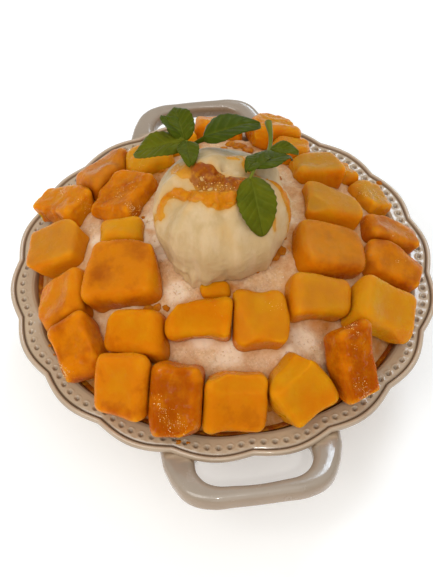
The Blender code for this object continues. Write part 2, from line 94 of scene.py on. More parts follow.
# Food, as in the part's source
GAP = 0.0003
MOUND_RISE = 0.030
MOUND_RADIUS = 0.090
MOUND_SHORE = 0.086
MOUND_SHORE_WIDTH = 0.012
LUMP_HEIGHT = 0.0016
LUMPS_PER_METRE = 60
POOL_LEVEL = RIM_HEIGHT - 0.0045
SCOOP_RADIUS = 0.0295
SCOOP_CENTRE = np.array((-0.0005, -0.0035, RIM_HEIGHT + 0.0420))
SCOOP_SQUASH = 0.93
GROOVES = 13
GROOVE_DEPTH = 0.0005
SKIRT_LOBES = 7
SKIRT_DEPTH = 0.0012
FOLD_DEPTH = 0.0026
FOLD_WIDTH = 0.0050
FOLD_SLANT = 0.25
# Runs of puree over the scoop, by azimuth and elevation in degrees and half width in mm
THIN_PUREE = (
    ((155, 64, 2.0), (172, 66, 2.2), (-172, 72, 2.6), (-120, 76, 3.2), (-78, 72, 3.0), (-54, 65, 2.2)),
    ((-174, 64, 1.4), (-150, 68, 2.0), (-112, 71, 2.8), (-80, 68, 2.8), (-56, 63, 2.2)),
    ((150, 42, 1.6), (158, 50, 2.4), (166, 56, 2.6), (176, 62, 1.8)),
    ((-169, 18, 1.1), (-173, 8, 1.0), (-172, -6, 0.8), (-170, -16, 0.6)),
    ((-21, 10, 1.5), (-24, 2, 1.1), (-27, -4, 0.7)),
    ((-42, 30, 0.8), (-44, 24, 1.0), (-45, 18, 0.6)),
    ((60, 70, 1.6), (40, 66, 2.2), (15, 62, 2.0), (-5, 56, 1.6)),
    ((-60, 62, 1.0), (-54, 56, 1.4), (-50, 48, 0.9)),
)
PUREE_STRANDS = (
    ((-169, 14, 1.1), (-173, 24, 1.3), (-174, 36, 1.8), (-168, 46, 3.0), (-152, 54, 3.0), (-134, 59, 2.2)),
    ((-132, 60, 2.2), (-112, 60, 3.4), (-96, 60, 3.8), (-80, 61, 2.6)),
    ((176, 72, 2.6), (-170, 79, 3.2), (-110, 81, 3.6), (-62, 74, 3.2), (-40, 68, 2.4)),
    ((-9, 50, 1.6), (-15, 37, 2.2), (-20, 21, 2.4), (-21, 8, 1.8)),
)
# Groups of these runs with their height and their width, as shares of the half width
BRIGHT_RUNS = (
    (PUREE_STRANDS[:1], 0.50, 0.92),
    (PUREE_STRANDS[1:2], 0.45, 0.92),
    (PUREE_STRANDS[3:], 0.50, 0.85),
    (THIN_PUREE[2:], 0.16, 1.10),
)
DARK_RUNS = ((PUREE_STRANDS[2:3], 0.38, 1.15), (THIN_PUREE[:2], 0.14, 1.20))

# Mint in mm. A stem runs through points with radii. A leaf runs from base to tip, with its width, the arch
# of its midrib, its roll in degrees, how yellow it is and the share of it that is stalk
LEAF_GRID = (60, 31)
LEAF_THICKNESS = 0.00035
LEFT_SPRIG_STEM = ((-13.0, 15.5, 114.6, 1.1), (-13.0, 17.5, 112.0, 1.3), (-12.6, 19.0, 108.5, 1.1))
LEFT_SPRIG_LEAVES = (
    ((-13.2, 16.0, 113.8), (-35.5, 18.5, 107.5), 15.0, 2.0, 2, 0.75, 0.0),
    ((-13.4, 17.5, 113.6), (-15.5, 37.0, 115.0), 11.5, 2.2, -8, 0.25, 0.0),
    ((-13.6, 18.0, 113.2), (-22.0, 31.5, 116.0), 8.5, 1.6, 16, 0.10, 0.0),
    ((-12.8, 16.6, 114.2), (-12.8, -1.0, 117.6), 8.5, 1.2, 0, 0.35, 0.0),
    ((-11.2, 14.8, 113.6), (19.0, 20.4, 116.6), 17.0, 2.6, -10, 0.0, 0.20),
)
RIGHT_SPRIG_STEM = (
    (9.8, -11.6, 117.2, 0.7),
    (13.6, -4.0, 116.9, 0.8),
    (18.6, 4.0, 114.0, 0.9),
    (21.8, 11.0, 110.8, 0.9),
    (23.8, 20.0, 109.6, 1.0),
    (24.2, 28.5, 109.0, 1.7),
)
RIGHT_SPRIG_LEAVES = (
    ((19.6, 5.6, 113.3), (9.4, -7.6, 118.0), 8.5, 1.0, 8, 0.20, 0.0),
    ((13.0, -5.5, 117.0), (30.0, 4.4, 110.6), 11.5, 2.2, -14, 0.10, 0.0),
    ((10.2, -10.6, 117.3), (12.6, -29.4, 102.4), 15.0, 3.6, 4, 0.60, 0.0),
    ((22.0, 10.0, 111.2), (33.5, 7.0, 110.6), 7.0, 1.4, 0, 0.40, 0.0),
)

# Looks of each cube by its number: roundness, ripeness from 0, yellow, to 1, dark orange, pale top (partly
# frost, partly painted sky sheen), wetness
CUBE_LOOKS = {
    1: (2.0, 0.92, 0.00, 0.6), 2: (1.8, 0.58, 0.05, 0.3), 3: (1.5, 1.10, 0.00, 0.9),
    4: (1.8, 0.52, 0.05, 0.2), 5: (0.9, 0.05, 0.05, 0.2), 6: (1.5, 1.20, 0.00, 0.9),
    7: (1.5, 0.20, 0.20, 0.3), 8: (2.3, 1.05, 0.15, 0.5), 9: (2.7, 1.00, 0.25, 0.5),
    10: (1.9, 0.30, 0.70, 1.0), 11: (1.7, 0.40, 0.60, 0.6), 12: (2.3, 0.35, 0.80, 0.4),
    13: (1.6, 0.40, 0.65, 0.3), 14: (3.9, 0.80, 0.35, 0.3), 15: (1.4, 0.30, 0.35, 0.3),
    16: (1.5, 0.45, 0.15, 0.2), 17: (1.7, 0.48, 0.00, 0.2), 18: (1.6, 0.35, 0.00, 0.3),
    19: (1.2, 0.68, 0.00, 0.2), 20: (4.0, 0.62, 0.10, 0.3), 21: (1.9, 0.80, 0.05, 0.2),
    22: (2.2, 0.55, 0.45, 0.3), 23: (1.8, 0.60, 0.15, 0.8), 24: (2.0, 0.78, 0.30, 0.4),
    25: (2.2, 0.80, 0.05, 0.9), 26: (2.0, 0.05, 0.10, 0.6), 27: (1.6, 0.50, 0.20, 0.4),
    28: (1.8, 0.35, 0.25, 0.5), 29: (1.8, 0.35, 0.20, 0.5), 30: (1.6, 0.40, 0.20, 0.4),
    31: (1.7, 0.20, 0.30, 0.5),
}
PULPY_CUBES = (10, 11, 23, 25, 28, 29, 31)
# Rounds of softening are CUBE_ROUNDING times the square of the roundness
CUBE_VOXEL = 0.0008
CUBE_SWELL = 0.0019
CUBE_CLEARANCE = 0.00015
CUBE_ROUNDING = 3.5
CUTS_PER_CUBE = 4
CUT_SHARE = 0.81
NEIGHBOUR_REACH = 0.045
CREST_BENDS = (110, 330)
MOUND_COLUMNS = 680
FLAKES = 12000
FOLD_CRYSTALS = 80
STRAND_CRYSTALS = 18
SCOOP_GRID = (190, 300)
PUREE_GRID = (230, 420)
# Clusters of crystals, whose bright colour also stands in as painted glints: cube, x, y and radius in mm,
# and how many
CLUSTERS = (
    (3, -34, -84, 2.6, 34), (3, -31, -88, 2.8, 40), (3, -28, -90, 1.8, 16), (3, -36, -79, 2.0, 14),
    (6, 45, -62, 2.6, 40), (6, 46, -68, 2.4, 8), (6, 46, -82, 2.6, 26), (6, 48, -84, 2.0, 26),
    (1, -77, -53, 2.2, 20), (1, -75, -57, 2.6, 30), (1, -72, -59, 2.0, 18), (10, 75, 22, 3.2, 60),
    (10, 79, 20, 2.6, 34), (10, 72, 24, 2.4, 26), (23, -70, 41, 3.0, 18), (23, -61, 29, 2.6, 34),
    (25, -39, 16, 3.0, 60), (25, -42, 27, 4.0, 34), (25, -40, 13, 2.6, 40), (8, 66, -13, 2.4, 10),
    (8, 78, -21, 2.4, 10), (9, 69, 3, 2.6, 12), (9, 79, -8, 2.6, 8), (7, 70, -30, 2.6, 12),
    (17, -4, -48, 4.0, 8), (16, 14, -48, 3.0, 18), (31, -36, 44, 3.0, 12), (12, 52, 40, 4.0, 8),
)

# Spots of puree and syrup on the ice and the rim: x, y and radius in mm, and how far each stands up
SPOTS = (
    (12, -25, 2.0, 0.5), (15, -23, 2.6, 0.5), (19, -19, 3.2, 0.5), (23, -16, 2.8, 0.5),
    (26, -10, 2.0, 0.5), (17, 62, 3.8, 0.6), (13, 64, 3.4, 0.6), (20, 57, 3.0, 0.5), (8, 60, 2.2, 0.5),
    (-29, 51, 2.4, 0.5), (-24, 45, 2.8, 0.5), (-35, 12, 1.4, 0.4), (-36, 20, 1.8, 0.5),
    (-13, -28, 1.3, 0.4), (28, 22, 2.0, 0.5), (30, 30, 2.4, 0.5), (9, -78, 2.0, 1.3),
    (8, -75, 1.6, 1.0), (-33, -36, 2.0, 0.4), (-37, -36, 2.4, 0.4), (-29, -37, 1.6, 0.4),
)
# Patches of clean, bright ice and of ice soaked with puree: x, y and radius in mm
BRIGHT_ICE = (
    (-33, 7, 6), (-35, 0, 5), (-30, -2, 5), (-56, 8, 5), (-27, -10, 5), (-5, -60, 7), (-16, -52, 6),
    (-43, -38, 6), (27, -56, 6), (22, -62, 5), (30, 2, 4), (-24, -30, 6), (-48, -36, 4), (47, -8, 4),
    (-20, -42, 5),
)
SOAKED_ICE = (
    (36, -50, 6), (40, -58, 6), (20, -20, 6), (31, -16, 5), (-38, 28, 6), (-22, 40, 8), (18, 60, 8),
    (34, 20, 5), (-8, -34, 4), (2, -36, 4), (12, -78, 8), (-14, -82, 6), (30, -78, 6), (-57, -66, 7),
    (58, -50, 8), (-70, -50, 8), (-80, -30, 8), (-84, -8, 7), (-50, -70, 6), (70, -48, 7),
)
RIM_DROPS = (
    (86, 42, 1.5, 0.6), (-82, -34, 0.8, 0.5), (-80, -39, 0.6, 0.5), (-30, -88, 1.2, 0.5),
    (-26, -89, 0.8, 0.5),
)
SYRUP_LEVEL = RIM_HEIGHT - 0.0034
SYRUP_REACH = 0.0873
# Section of the syrup: share of its reach, and how far it is from the level
SYRUP_SECTION = (
    (0.90, -0.0016), (0.905, 0.0), (0.93, 0.0), (0.96, 0.0), (0.985, 0.0001), (1.0, 0.0005),
    (0.985, -0.0012),
)
WELD_DISTANCE = 0.00001
SEED = 11

# Camera: place and directions of its right, up and back sides, fitted to the rim of the dish
CAMERA_PLACE = (-0.030286, -0.242118, 0.363707)
CAMERA_RIGHT = (0.991841, -0.126960, -0.011515)
CAMERA_UP = (0.109310, 0.800510, 0.589267)
CAMERA_BACK = (-0.065595, -0.585718, 0.807856)
CAMERA_LENS = 52.54

# Suns: where each stands by azimuth and elevation in degrees, strength, spread in degrees and colour
SUNS = {
    "ceiling": (-100, 74, 0.42, 50, (1.0, 0.99, 0.97)),
    "fill": (-88, 26, 0.29, 40, (1.0, 0.99, 0.97)),
    "spot": (-96, 64, 0.30, 2.5, (1.0, 0.99, 0.96)),
    "window": (62, 47, 0.66, 16, (0.74, 0.87, 1.0)),
}
# Lamp: its place and width in metres, power in watts and colour
LAMP = ((-0.26, -0.22, 0.44), 0.30, 0.68, (1.0, 0.985, 0.95))
SKY_COLOUR = (1.0, 0.99, 0.97, 1.0)
SKY_STRENGTH = 0.54
FLOOR_WIDTH = 6.0

rng = np.random.default_rng(SEED)
NOISE_TABLE = rng.random(4096) * 2 - 1
POLES = np.array(((0.0, 0.0, 1.0), (0.0, 0.0, -1.0)))


def lattice_noise(points, cells_per_metre, seed=0):
    """Smooth noise from -1 to 1 at every point, its cells 1 / cells_per_metre wide."""
    grid = np.asarray(points) * cells_per_metre + 1000.0 + 17.3 * seed
    low = np.floor(grid).astype(np.int64)
    part = grid - low
    part = part * part * (3 - 2 * part)
    total = np.zeros(len(grid))
    for corner in range(8):
        step = np.array((corner & 1, corner >> 1 & 1, corner >> 2 & 1))
        cell = low + step
        key = (cell[:, 0] * 73856093 ^ cell[:, 1] * 19349663 ^ cell[:, 2] * 83492791) % len(NOISE_TABLE)
        total += np.prod(np.where(step, part, 1 - part), axis=1) * NOISE_TABLE[key]
    return total


def uneven(points, *layers):
    """Noise in layers, each given by its height, its cells per metre and its seed."""
    return sum(height * lattice_noise(points, cells, seed) for height, cells, seed in layers)


def bump_at(value, middle, width):
    """A soft bump of height 1 at middle."""
    return np.exp(-(((value - middle) / width) ** 2))


def smooth_step(value, low, high):
    share = np.clip((value - low) / (high - low), 0, 1)
    return share * share * (3 - 2 * share)


# Mesh helpers


def paint(mesh, material):
    mesh.materials.clear()
    mesh.materials.append(material)


def new_object(name, data, material=None):
    item = bpy.data.objects.new(name, data)
    bpy.context.scene.collection.objects.link(item)
    if material:
        paint(data, material)
    return item


def get_points(mesh):
    points = np.zeros(len(mesh.vertices) * 3)
    mesh.vertices.foreach_get("co", points)
    return points.reshape(-1, 3)


def get_normals(mesh):
    normals = np.zeros(len(mesh.vertices) * 3, np.float32)
    mesh.vertex_normals.foreach_get("vector", normals)
    return normals.reshape(-1, 3).astype(float)


def set_points(mesh, points):
    mesh.vertices.foreach_set("co", np.ascontiguousarray(points, np.float32).ravel())
    mesh.update()


def set_attribute(mesh, name, values):
    layer = mesh.attributes.new(name, "FLOAT", "POINT")
    values = np.broadcast_to(values, len(mesh.vertices))
    layer.data.foreach_set("value", np.ascontiguousarray(values, np.float32))


def ring(angle, reach, height):
    """Points at every angle, at the given reach and height."""
    return np.stack((reach * np.cos(angle), reach * np.sin(angle), np.full(len(angle), height)), 1)


def skin(name, rows, start=None, end=None):
    """A mesh over rows of points that each run once round, closed by fans to a start and an end point."""
    rows = np.asarray(rows)
    count, columns = rows.shape[:2]
    here = np.arange(columns)
    after = (here + 1) % columns
    points = rows.reshape(-1, 3).tolist()
    faces = []
    for row in range(count - 1):
        base = row * columns
        quads = np.stack((base + here, base + columns + here, base + columns + after, base + after), 1)
        faces.extend(quads.tolist())
    if start is not None:
        points.append(tuple(start))
        faces.extend([len(points) - 1, int(a), int(b)] for a, b in zip(here, after))
    if end is not None:
        points.append(tuple(end))
        base = (count - 1) * columns
        faces.extend([len(points) - 1, int(base + b), int(base + a)] for a, b in zip(here, after))
    mesh = bpy.data.meshes.new(name)
    mesh.from_pydata(points, [], faces)
    mesh.update()
    return mesh


def mesh_of(item):
    """A new mesh of the object as its modifiers or its curve's settings make it."""
    graph = bpy.context.evaluated_depsgraph_get()
    graph.update()
    return bpy.data.meshes.new_from_object(item.evaluated_get(graph))


def apply_modifiers(item):
    mesh = mesh_of(item)
    item.modifiers.clear()
    item.data = mesh
    return mesh


def weld(mesh, place=Matrix()):
    """Move the mesh, merge its doubled points and turn its faces outwards."""
    shell = bmesh.new()
    shell.from_mesh(mesh)
    shell.transform(place)
    bmesh.ops.remove_doubles(shell, verts=shell.verts, dist=WELD_DISTANCE)
    bmesh.ops.recalc_face_normals(shell, faces=shell.faces)
    shell.to_mesh(mesh)
    shell.free()


def curve_mesh(curve, place=Matrix()):
    item = new_object(curve.name, curve)
    mesh = mesh_of(item)
    bpy.data.objects.remove(item, do_unlink=True)
    weld(mesh, place)
    return mesh


def ball_mesh(name, subdivisions):
    shell = bmesh.new()
    bmesh.ops.create_icosphere(shell, subdivisions=subdivisions, radius=1.0)
    mesh = bpy.data.meshes.new(name)
    shell.to_mesh(mesh)
    shell.free()
    return mesh


def join(name, items, material):
    """One object from several, which are removed."""
    shell = bmesh.new()
    for item in items:
        mesh = item.data
        mesh.transform(item.matrix_world)
        shell.from_mesh(mesh)
        bpy.data.objects.remove(item, do_unlink=True)
    mesh = bpy.data.meshes.new(name)
    shell.to_mesh(mesh)
    shell.free()
    return new_object(name, mesh, material)


def make_tube(name, points, sides=3):
    """A closed round tube through points of (position, radius), smoothed between them."""
    curve = bpy.data.curves.new(name, "CURVE")
    curve.dimensions = "3D"
    curve.bevel_depth = 1.0
    curve.bevel_resolution = sides
    curve.use_fill_caps = True
    path = curve.splines.new("POLY")
    fine = refine(points)
    path.points.add(len(fine) - 1)
    for point, row in zip(path.points, fine):
        point.co = (*row[:3], 1)
        point.radius = row[3]
    return new_object(name, curve_mesh(curve))


def refine(points, steps=6):
    """Points of (position, radius) on a smooth curve through the given ones."""
    rows = np.array([(*position, radius) for position, radius in points])
    padded = np.vstack((2 * rows[0] - rows[1], rows, 2 * rows[-1] - rows[-2]))
    fine = []
    for index in range(1, len(padded) - 2):
        before, here, there, beyond = padded[index - 1:index + 3]
        for share in np.arange(steps) / steps:
            fine.append(
                0.5 * (2 * here + (there - before) * share
                       + (2 * before - 5 * here + 4 * there - beyond) * share ** 2
                       + (3 * here - before - 3 * there + beyond) * share ** 3)
            )
    fine.append(rows[-1])
    return np.array(fine)


def dress(piece, slot, *nodes):
    """The piece is smooth, rides on the one body and stands for the given nodes; the slot is not used."""
    piece.data.shade_smooth()
    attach(piece, "root")
    if nodes:
        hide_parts(*nodes)


# Material helpers


class Graph:
    """The node tree of one material, with short ways to add and wire its nodes."""

    def __init__(self, name, **sockets):
        self.material = bpy.data.materials.new(name)
        self.material.use_nodes = True
        self.tree = self.material.node_tree
        self.shader = self.tree.nodes["Principled BSDF"]
        self.set(**sockets)

    def set(self, **sockets):
        """Values on the shader's own sockets, named with _ for each space."""
        for key, value in sockets.items():
            self.shader.inputs[key.replace("_", " ")].default_value = value

    def node(self, kind, inputs=(), **settings):
        made = self.tree.nodes.new("ShaderNode" + kind)
        for key, value in settings.items():
            setattr(made, key, value)
        for key, value in dict(inputs).items():
            if isinstance(value, bpy.types.NodeSocket):
                self.tree.links.new(value, made.inputs[key])
            else:
                made.inputs[key].default_value = value
        return made

    def place(self, stretch=(1, 1, 1)):
        """Object coordinates in metres, stretched along each axis."""
        where = self.node("TexCoord").outputs["Object"]
        if stretch == (1, 1, 1):
            return where
        return self.node("Mapping", {"Vector": where, "Scale": stretch}).outputs["Vector"]

    def noise(self, scale, detail=3.0, roughness=0.55, stretch=(1, 1, 1)):
        inputs = {"Vector": self.place(stretch), "Scale": scale, "Detail": detail, "Roughness": roughness}
        return self.node("TexNoise", inputs).outputs["Fac"]

    def attribute(self, name):
        return self.node("Attribute", attribute_name=name).outputs["Fac"]

    def math(self, operation, first, second):
        return self.node("Math", {0: first, 1: second}, operation=operation).outputs[0]

    def times(self, first, second):
        return self.math("MULTIPLY", first, second)

    def plus(self, first, second):
        return self.math("ADD", first, second)

    def spread(self, value, low, high, to_low=0.0, to_high=1.0):
        inputs = {"Value": value, "From Min": low, "From Max": high, "To Min": to_low, "To Max": to_high}
        return self.node("MapRange", inputs).outputs["Result"]

    def cloud(self, scale, detail, low, high, to_low=0.0, to_high=1.0, **kind):
        """Noise spread so that low and high become to_low and to_high."""
        return self.spread(self.noise(scale, detail, **kind), low, high, to_low, to_high)

    def mix(self, factor, first, second):
        made = self.node("Mix", data_type="RGBA")
        for index, value in ((0, factor), (6, first), (7, second)):
            if isinstance(value, bpy.types.NodeSocket):
                self.tree.links.new(value, made.inputs[index])
            elif index == 0:
                made.inputs[index].default_value = value
            else:
                made.inputs[index].default_value = (*value, 1.0)
        return made.outputs[2]

    def tint(self, colour, where, share, other):
        """The colour, turned towards the other one by a share of where."""
        return self.mix(self.times(where, share), colour, other)

    def bump(self, height, distance, strength=1.0):
        inputs = {"Height": height, "Distance": distance, "Strength": strength}
        return self.node("Bump", inputs).outputs["Normal"]

    def finish(self, colour, roughness=None, normal=None):
        self.tree.links.new(colour, self.shader.inputs["Base Color"])
        if roughness is not None:
            self.tree.links.new(roughness, self.shader.inputs["Roughness"])
        if normal is not None:
            self.tree.links.new(normal, self.shader.inputs["Normal"])
        return self.material


def glaze_material():
    """Beige stoneware glaze: lighter and greyer on upward faces beyond the rim, as painted sky light, brown
    along the lip and in the pits.
    """
    graph = Graph(
        "stoneware_glaze", Roughness=0.2, IOR=1.5, Specular_IOR_Level=0.5, Coat_Weight=0.55,
        Coat_Roughness=0.09
    )
    cloud = graph.noise(55, 4)
    side = graph.mix(graph.spread(cloud, 0.35, 0.7), (0.310, 0.210, 0.128), (0.265, 0.175, 0.102))
    # A lighter, greyer copy of the glaze for upward faces: painted sky light
    flat = graph.mix(graph.spread(cloud, 0.35, 0.7), (0.355, 0.288, 0.222), (0.315, 0.252, 0.190))
    colour = graph.mix(graph.attribute("flat"), side, flat)
    colour = graph.tint(colour, graph.attribute("band"), 0.8, (0.530, 0.400, 0.262))
    speck = graph.cloud(900, 2, 0.68, 0.78)
    colour = graph.tint(colour, speck, 0.35, (0.26, 0.17, 0.10))
    colour = graph.tint(colour, graph.attribute("lip"), 0.7, (0.62, 0.48, 0.34))
    colour = graph.mix(graph.attribute("edge"), colour, (0.15, 0.085, 0.042))
    colour = graph.mix(graph.attribute("pit"), colour, (0.155, 0.100, 0.055))
    roughness = graph.cloud(240, 3, 0.3, 0.7, 0.13, 0.30)
    return graph.finish(colour, roughness, graph.bump(graph.noise(420, 3), 0.00012, 0.5))


def ice_material():
    """Fine wet milk ice: pale grains, stained by syrup in patches and towards the edge."""
    graph = Graph(
        "shaved_ice", Subsurface_Weight=0.5, Subsurface_Scale=0.003, IOR=1.31,
        Subsurface_Radius=(1.0, 0.7, 0.45), Specular_IOR_Level=0.25
    )
    grain = graph.noise(1000, 3, 0.7)
    colour = graph.mix(graph.spread(grain, 0.35, 0.68), (0.60, 0.37, 0.200), (0.77, 0.535, 0.325))
    patch = graph.cloud(90, 4, 0.48, 0.68)
    colour = graph.tint(colour, patch, 0.45, (0.62, 0.33, 0.105))
    fluff = graph.cloud(230, 4, 0.50, 0.66, roughness=0.6)
    colour = graph.tint(colour, fluff, 0.40, (0.84, 0.63, 0.42))
    colour = graph.tint(colour, graph.attribute("bright"), 0.9, (0.83, 0.650, 0.475))
    stain = graph.times(graph.attribute("stain"), graph.cloud(300, 3, 0.3, 0.6, 0.6, 1.0))
    colour = graph.mix(stain, colour, (0.50, 0.180, 0.022))
    height = graph.plus(grain, graph.times(fluff, 0.7))
    roughness = graph.cloud(900, 2, 0.3, 0.7, 0.25, 0.6)
    return graph.finish(colour, roughness, graph.bump(height, 0.00035, 0.45))


def grain_material(name, dull, bright):
    """Single grains of ice or wet pulp, clearer than the mound."""
    graph = Graph(name, Roughness=0.2, IOR=1.31)
    colour = graph.mix(graph.cloud(380, 2, 0.4, 0.65), dull, bright)
    colour = graph.mix(graph.attribute("stain"), colour, (0.54, 0.200, 0.026))
    return graph.finish(colour, None, graph.bump(graph.noise(2500, 2), 0.0001, 0.5))


def cream_material():
    """Soft ice cream: warm white, yellower where puree has run and where it melts, with lighter vertical
    streaks as painted shading of its grooves and a darker grey over the back of its top as painted shade.
    """
    graph = Graph(
        "ice_cream", Subsurface_Weight=0.35, Subsurface_Scale=0.003, IOR=1.36,
        Subsurface_Radius=(1.0, 0.75, 0.5), Specular_IOR_Level=0.25
    )
    cloud = graph.noise(90, 4)
    colour = graph.mix(graph.spread(cloud, 0.35, 0.7), (0.530, 0.366, 0.176), (0.580, 0.412, 0.210))
    # Painted shading of the drag grooves: lighter vertical streaks
    painted_groove_streak = graph.cloud(170, 4, 0.44, 0.60, stretch=(1, 1, 0.16))
    colour = graph.tint(colour, painted_groove_streak, 0.55, (0.66, 0.484, 0.285))
    # Painted shade: the back of the top is tinted darker and greyer
    colour = graph.tint(colour, graph.attribute("painted_back_shade"), 0.8, (0.39, 0.315, 0.175))
    colour = graph.mix(graph.attribute("stain"), colour, (0.66, 0.335, 0.055))
    roughness = graph.cloud(350, 3, 0.3, 0.7, 0.30, 0.5)
    return graph.finish(colour, roughness, graph.bump(graph.noise(1100, 4, 0.65), 0.00018, 0.5))


def wet_coat(graph, weight, bumps):
    """A clear wet film over the colour, uneven enough to glint in small spots."""
    ripple = graph.plus(graph.noise(bumps, 3), graph.times(graph.noise(bumps * 0.35, 2), 1.6))
    graph.tree.links.new(weight, graph.shader.inputs["Coat Weight"])
    graph.tree.links.new(graph.bump(ripple, 0.0009, 1.0), graph.shader.inputs["Coat Normal"])
    graph.set(Coat_Roughness=0.07, Coat_IOR=1.33)


def mango_material():
    """Wet mango flesh, from yellow to dark orange: painted light makes each cube yellower towards its top
    and on its sharp edges, painted shade makes it a deeper orange where cubes meet and near the ice, and
    upward faces are paler and more olive, partly frost and partly painted sky sheen.
    """
    graph = Graph(
        "mango_flesh", Subsurface_Weight=0.80, Subsurface_Scale=0.008, IOR=1.38,
        Subsurface_Radius=(1.0, 0.40, 0.05), Specular_IOR_Level=0.15,
        Specular_Tint=(1.0, 0.55, 0.08, 1.0)
    )
    cloud = graph.cloud(75, 4, 0.3, 0.7, -0.38, 0.38, roughness=0.6)
    shade = graph.plus(graph.attribute("ripe"), cloud)
    colour = graph.mix(graph.spread(shade, -0.1, 0.5), (0.61, 0.265, 0.004), (0.60, 0.180, 0.002))
    colour = graph.mix(graph.spread(shade, 0.6, 1.05), colour, (0.375, 0.074, 0.001))
    fibre = graph.cloud(330, 3, 0.45, 0.75, stretch=(1, 0.25, 1))
    colour = graph.tint(colour, fibre, 0.22, (0.63, 0.225, 0.005))
    # Painted shade and glow: a deeper orange where cubes meet and near the ice
    colour = graph.mix(graph.attribute("painted_contact_shade"), colour, (0.60, 0.140, 0.001))
    # Pale, olive upward faces: partly frost, partly painted sky sheen
    frost_and_painted_light = graph.times(graph.attribute("pale"), graph.cloud(150, 3, 0.3, 0.6, 0.55, 1.0))
    colour = graph.mix(frost_and_painted_light, colour, (0.43, 0.230, 0.036))
    # Painted light: sharp edges tinted a brighter orange, as if light glows through them
    colour = graph.tint(colour, graph.attribute("crest"), 0.55, (0.70, 0.300, 0.006))
    roughness = graph.cloud(210, 3, 0.35, 0.65, 0.18, 0.40)
    height = graph.plus(graph.noise(560, 3), graph.times(fibre, 0.5))
    height = graph.plus(height, graph.times(graph.noise(190, 3), 1.8))
    patch = graph.cloud(420, 2, 0.57, 0.64)
    wet_coat(graph, graph.times(graph.attribute("wet"), patch), 900)
    return graph.finish(colour, roughness, graph.bump(height, 0.00030, 0.5))


def puree_material():
    """Thick glossy mango puree with fine pulp."""
    graph = Graph(
        "mango_puree", Subsurface_Weight=0.3, Subsurface_Scale=0.003, IOR=1.4,
        Subsurface_Radius=(1.0, 0.35, 0.05), Specular_IOR_Level=0.25,
        Specular_Tint=(1.0, 0.58, 0.16, 1.0)
    )
    colour = graph.mix(graph.attribute("dark"), (0.56, 0.182, 0.002), (0.255, 0.050, 0.002))
    pulp = graph.cloud(400, 4, 0.48, 0.64)
    colour = graph.tint(colour, pulp, 0.45, (0.63, 0.27, 0.008))
    rich = graph.cloud(230, 4, 0.52, 0.66)
    colour = graph.tint(colour, rich, 0.50, (0.40, 0.098, 0.002))
    colour = graph.tint(colour, graph.attribute("thin"), 0.6, (0.64, 0.320, 0.040))
    wet_coat(graph, graph.cloud(260, 2, 0.45, 0.60, 0.0, 0.9), 800)
    height = graph.plus(graph.noise(650, 3), graph.times(graph.noise(260, 3), 1.5))
    return graph.finish(colour, None, graph.bump(height, 0.0004, 0.6))


def leaf_material():
    """Mint leaf: dark green, yellower on some leaves and a little paler along its veins."""
    graph = Graph(
        "mint_leaf", IOR=1.42, Subsurface_Weight=0.08, Subsurface_Scale=0.001, Specular_IOR_Level=0.18,
        Specular_Tint=(0.75, 1.0, 0.30, 1.0)
    )
    shade = graph.mix(graph.attribute("pale"), (0.046, 0.066, 0.002), (0.135, 0.130, 0.004))
    cloud = graph.cloud(130, 3, 0.35, 0.7)
    colour = graph.tint(shade, cloud, 0.6, (0.034, 0.047, 0.002))
    light = graph.cloud(260, 3, 0.55, 0.70)
    colour = graph.tint(colour, light, 0.30, (0.105, 0.120, 0.006))
    colour = graph.tint(colour, graph.attribute("vein"), 0.35, (0.17, 0.19, 0.02))
    roughness = graph.cloud(500, 2, 0.3, 0.7, 0.32, 0.5)
    return graph.finish(colour, roughness, graph.bump(graph.noise(900, 3), 0.00012, 0.5))


def floor_material():
    graph = Graph(
        "pale_floor", Roughness=0.8, Emission_Strength=0.16, Emission_Color=(1, 1, 1, 1),
        Specular_IOR_Level=0.1
    )
    colour = graph.mix(graph.noise(8, 2), (0.945, 0.945, 0.94), (0.955, 0.955, 0.95))
    return graph.finish(colour)


# Dish


def lobe(angle):
    """1 on the crest of a scallop, 0 in the notch between two; a notch lies over each handle."""
    return np.abs(np.cos(SCALLOPS / 2 * angle)) ** SCALLOP_POWER


def scalloped(angle, radius=RIM_RADIUS):
    """Share of its radius that the dish keeps at every angle."""
    fade = min(1.0, max(0.0, (radius / RIM_RADIUS - SCALLOP_START) / SCALLOP_BLEND))
    return 1 - SCALLOP_DEPTH / RIM_RADIUS * fade * (1 - lobe(angle))


def smooth_profile(points, steps):
    """Points on a smooth curve through the given profile points."""
    rows = refine([((radius, 0.0, height), 0.0) for radius, height in points], steps)
    return [(row[0], row[2]) for row in rows]


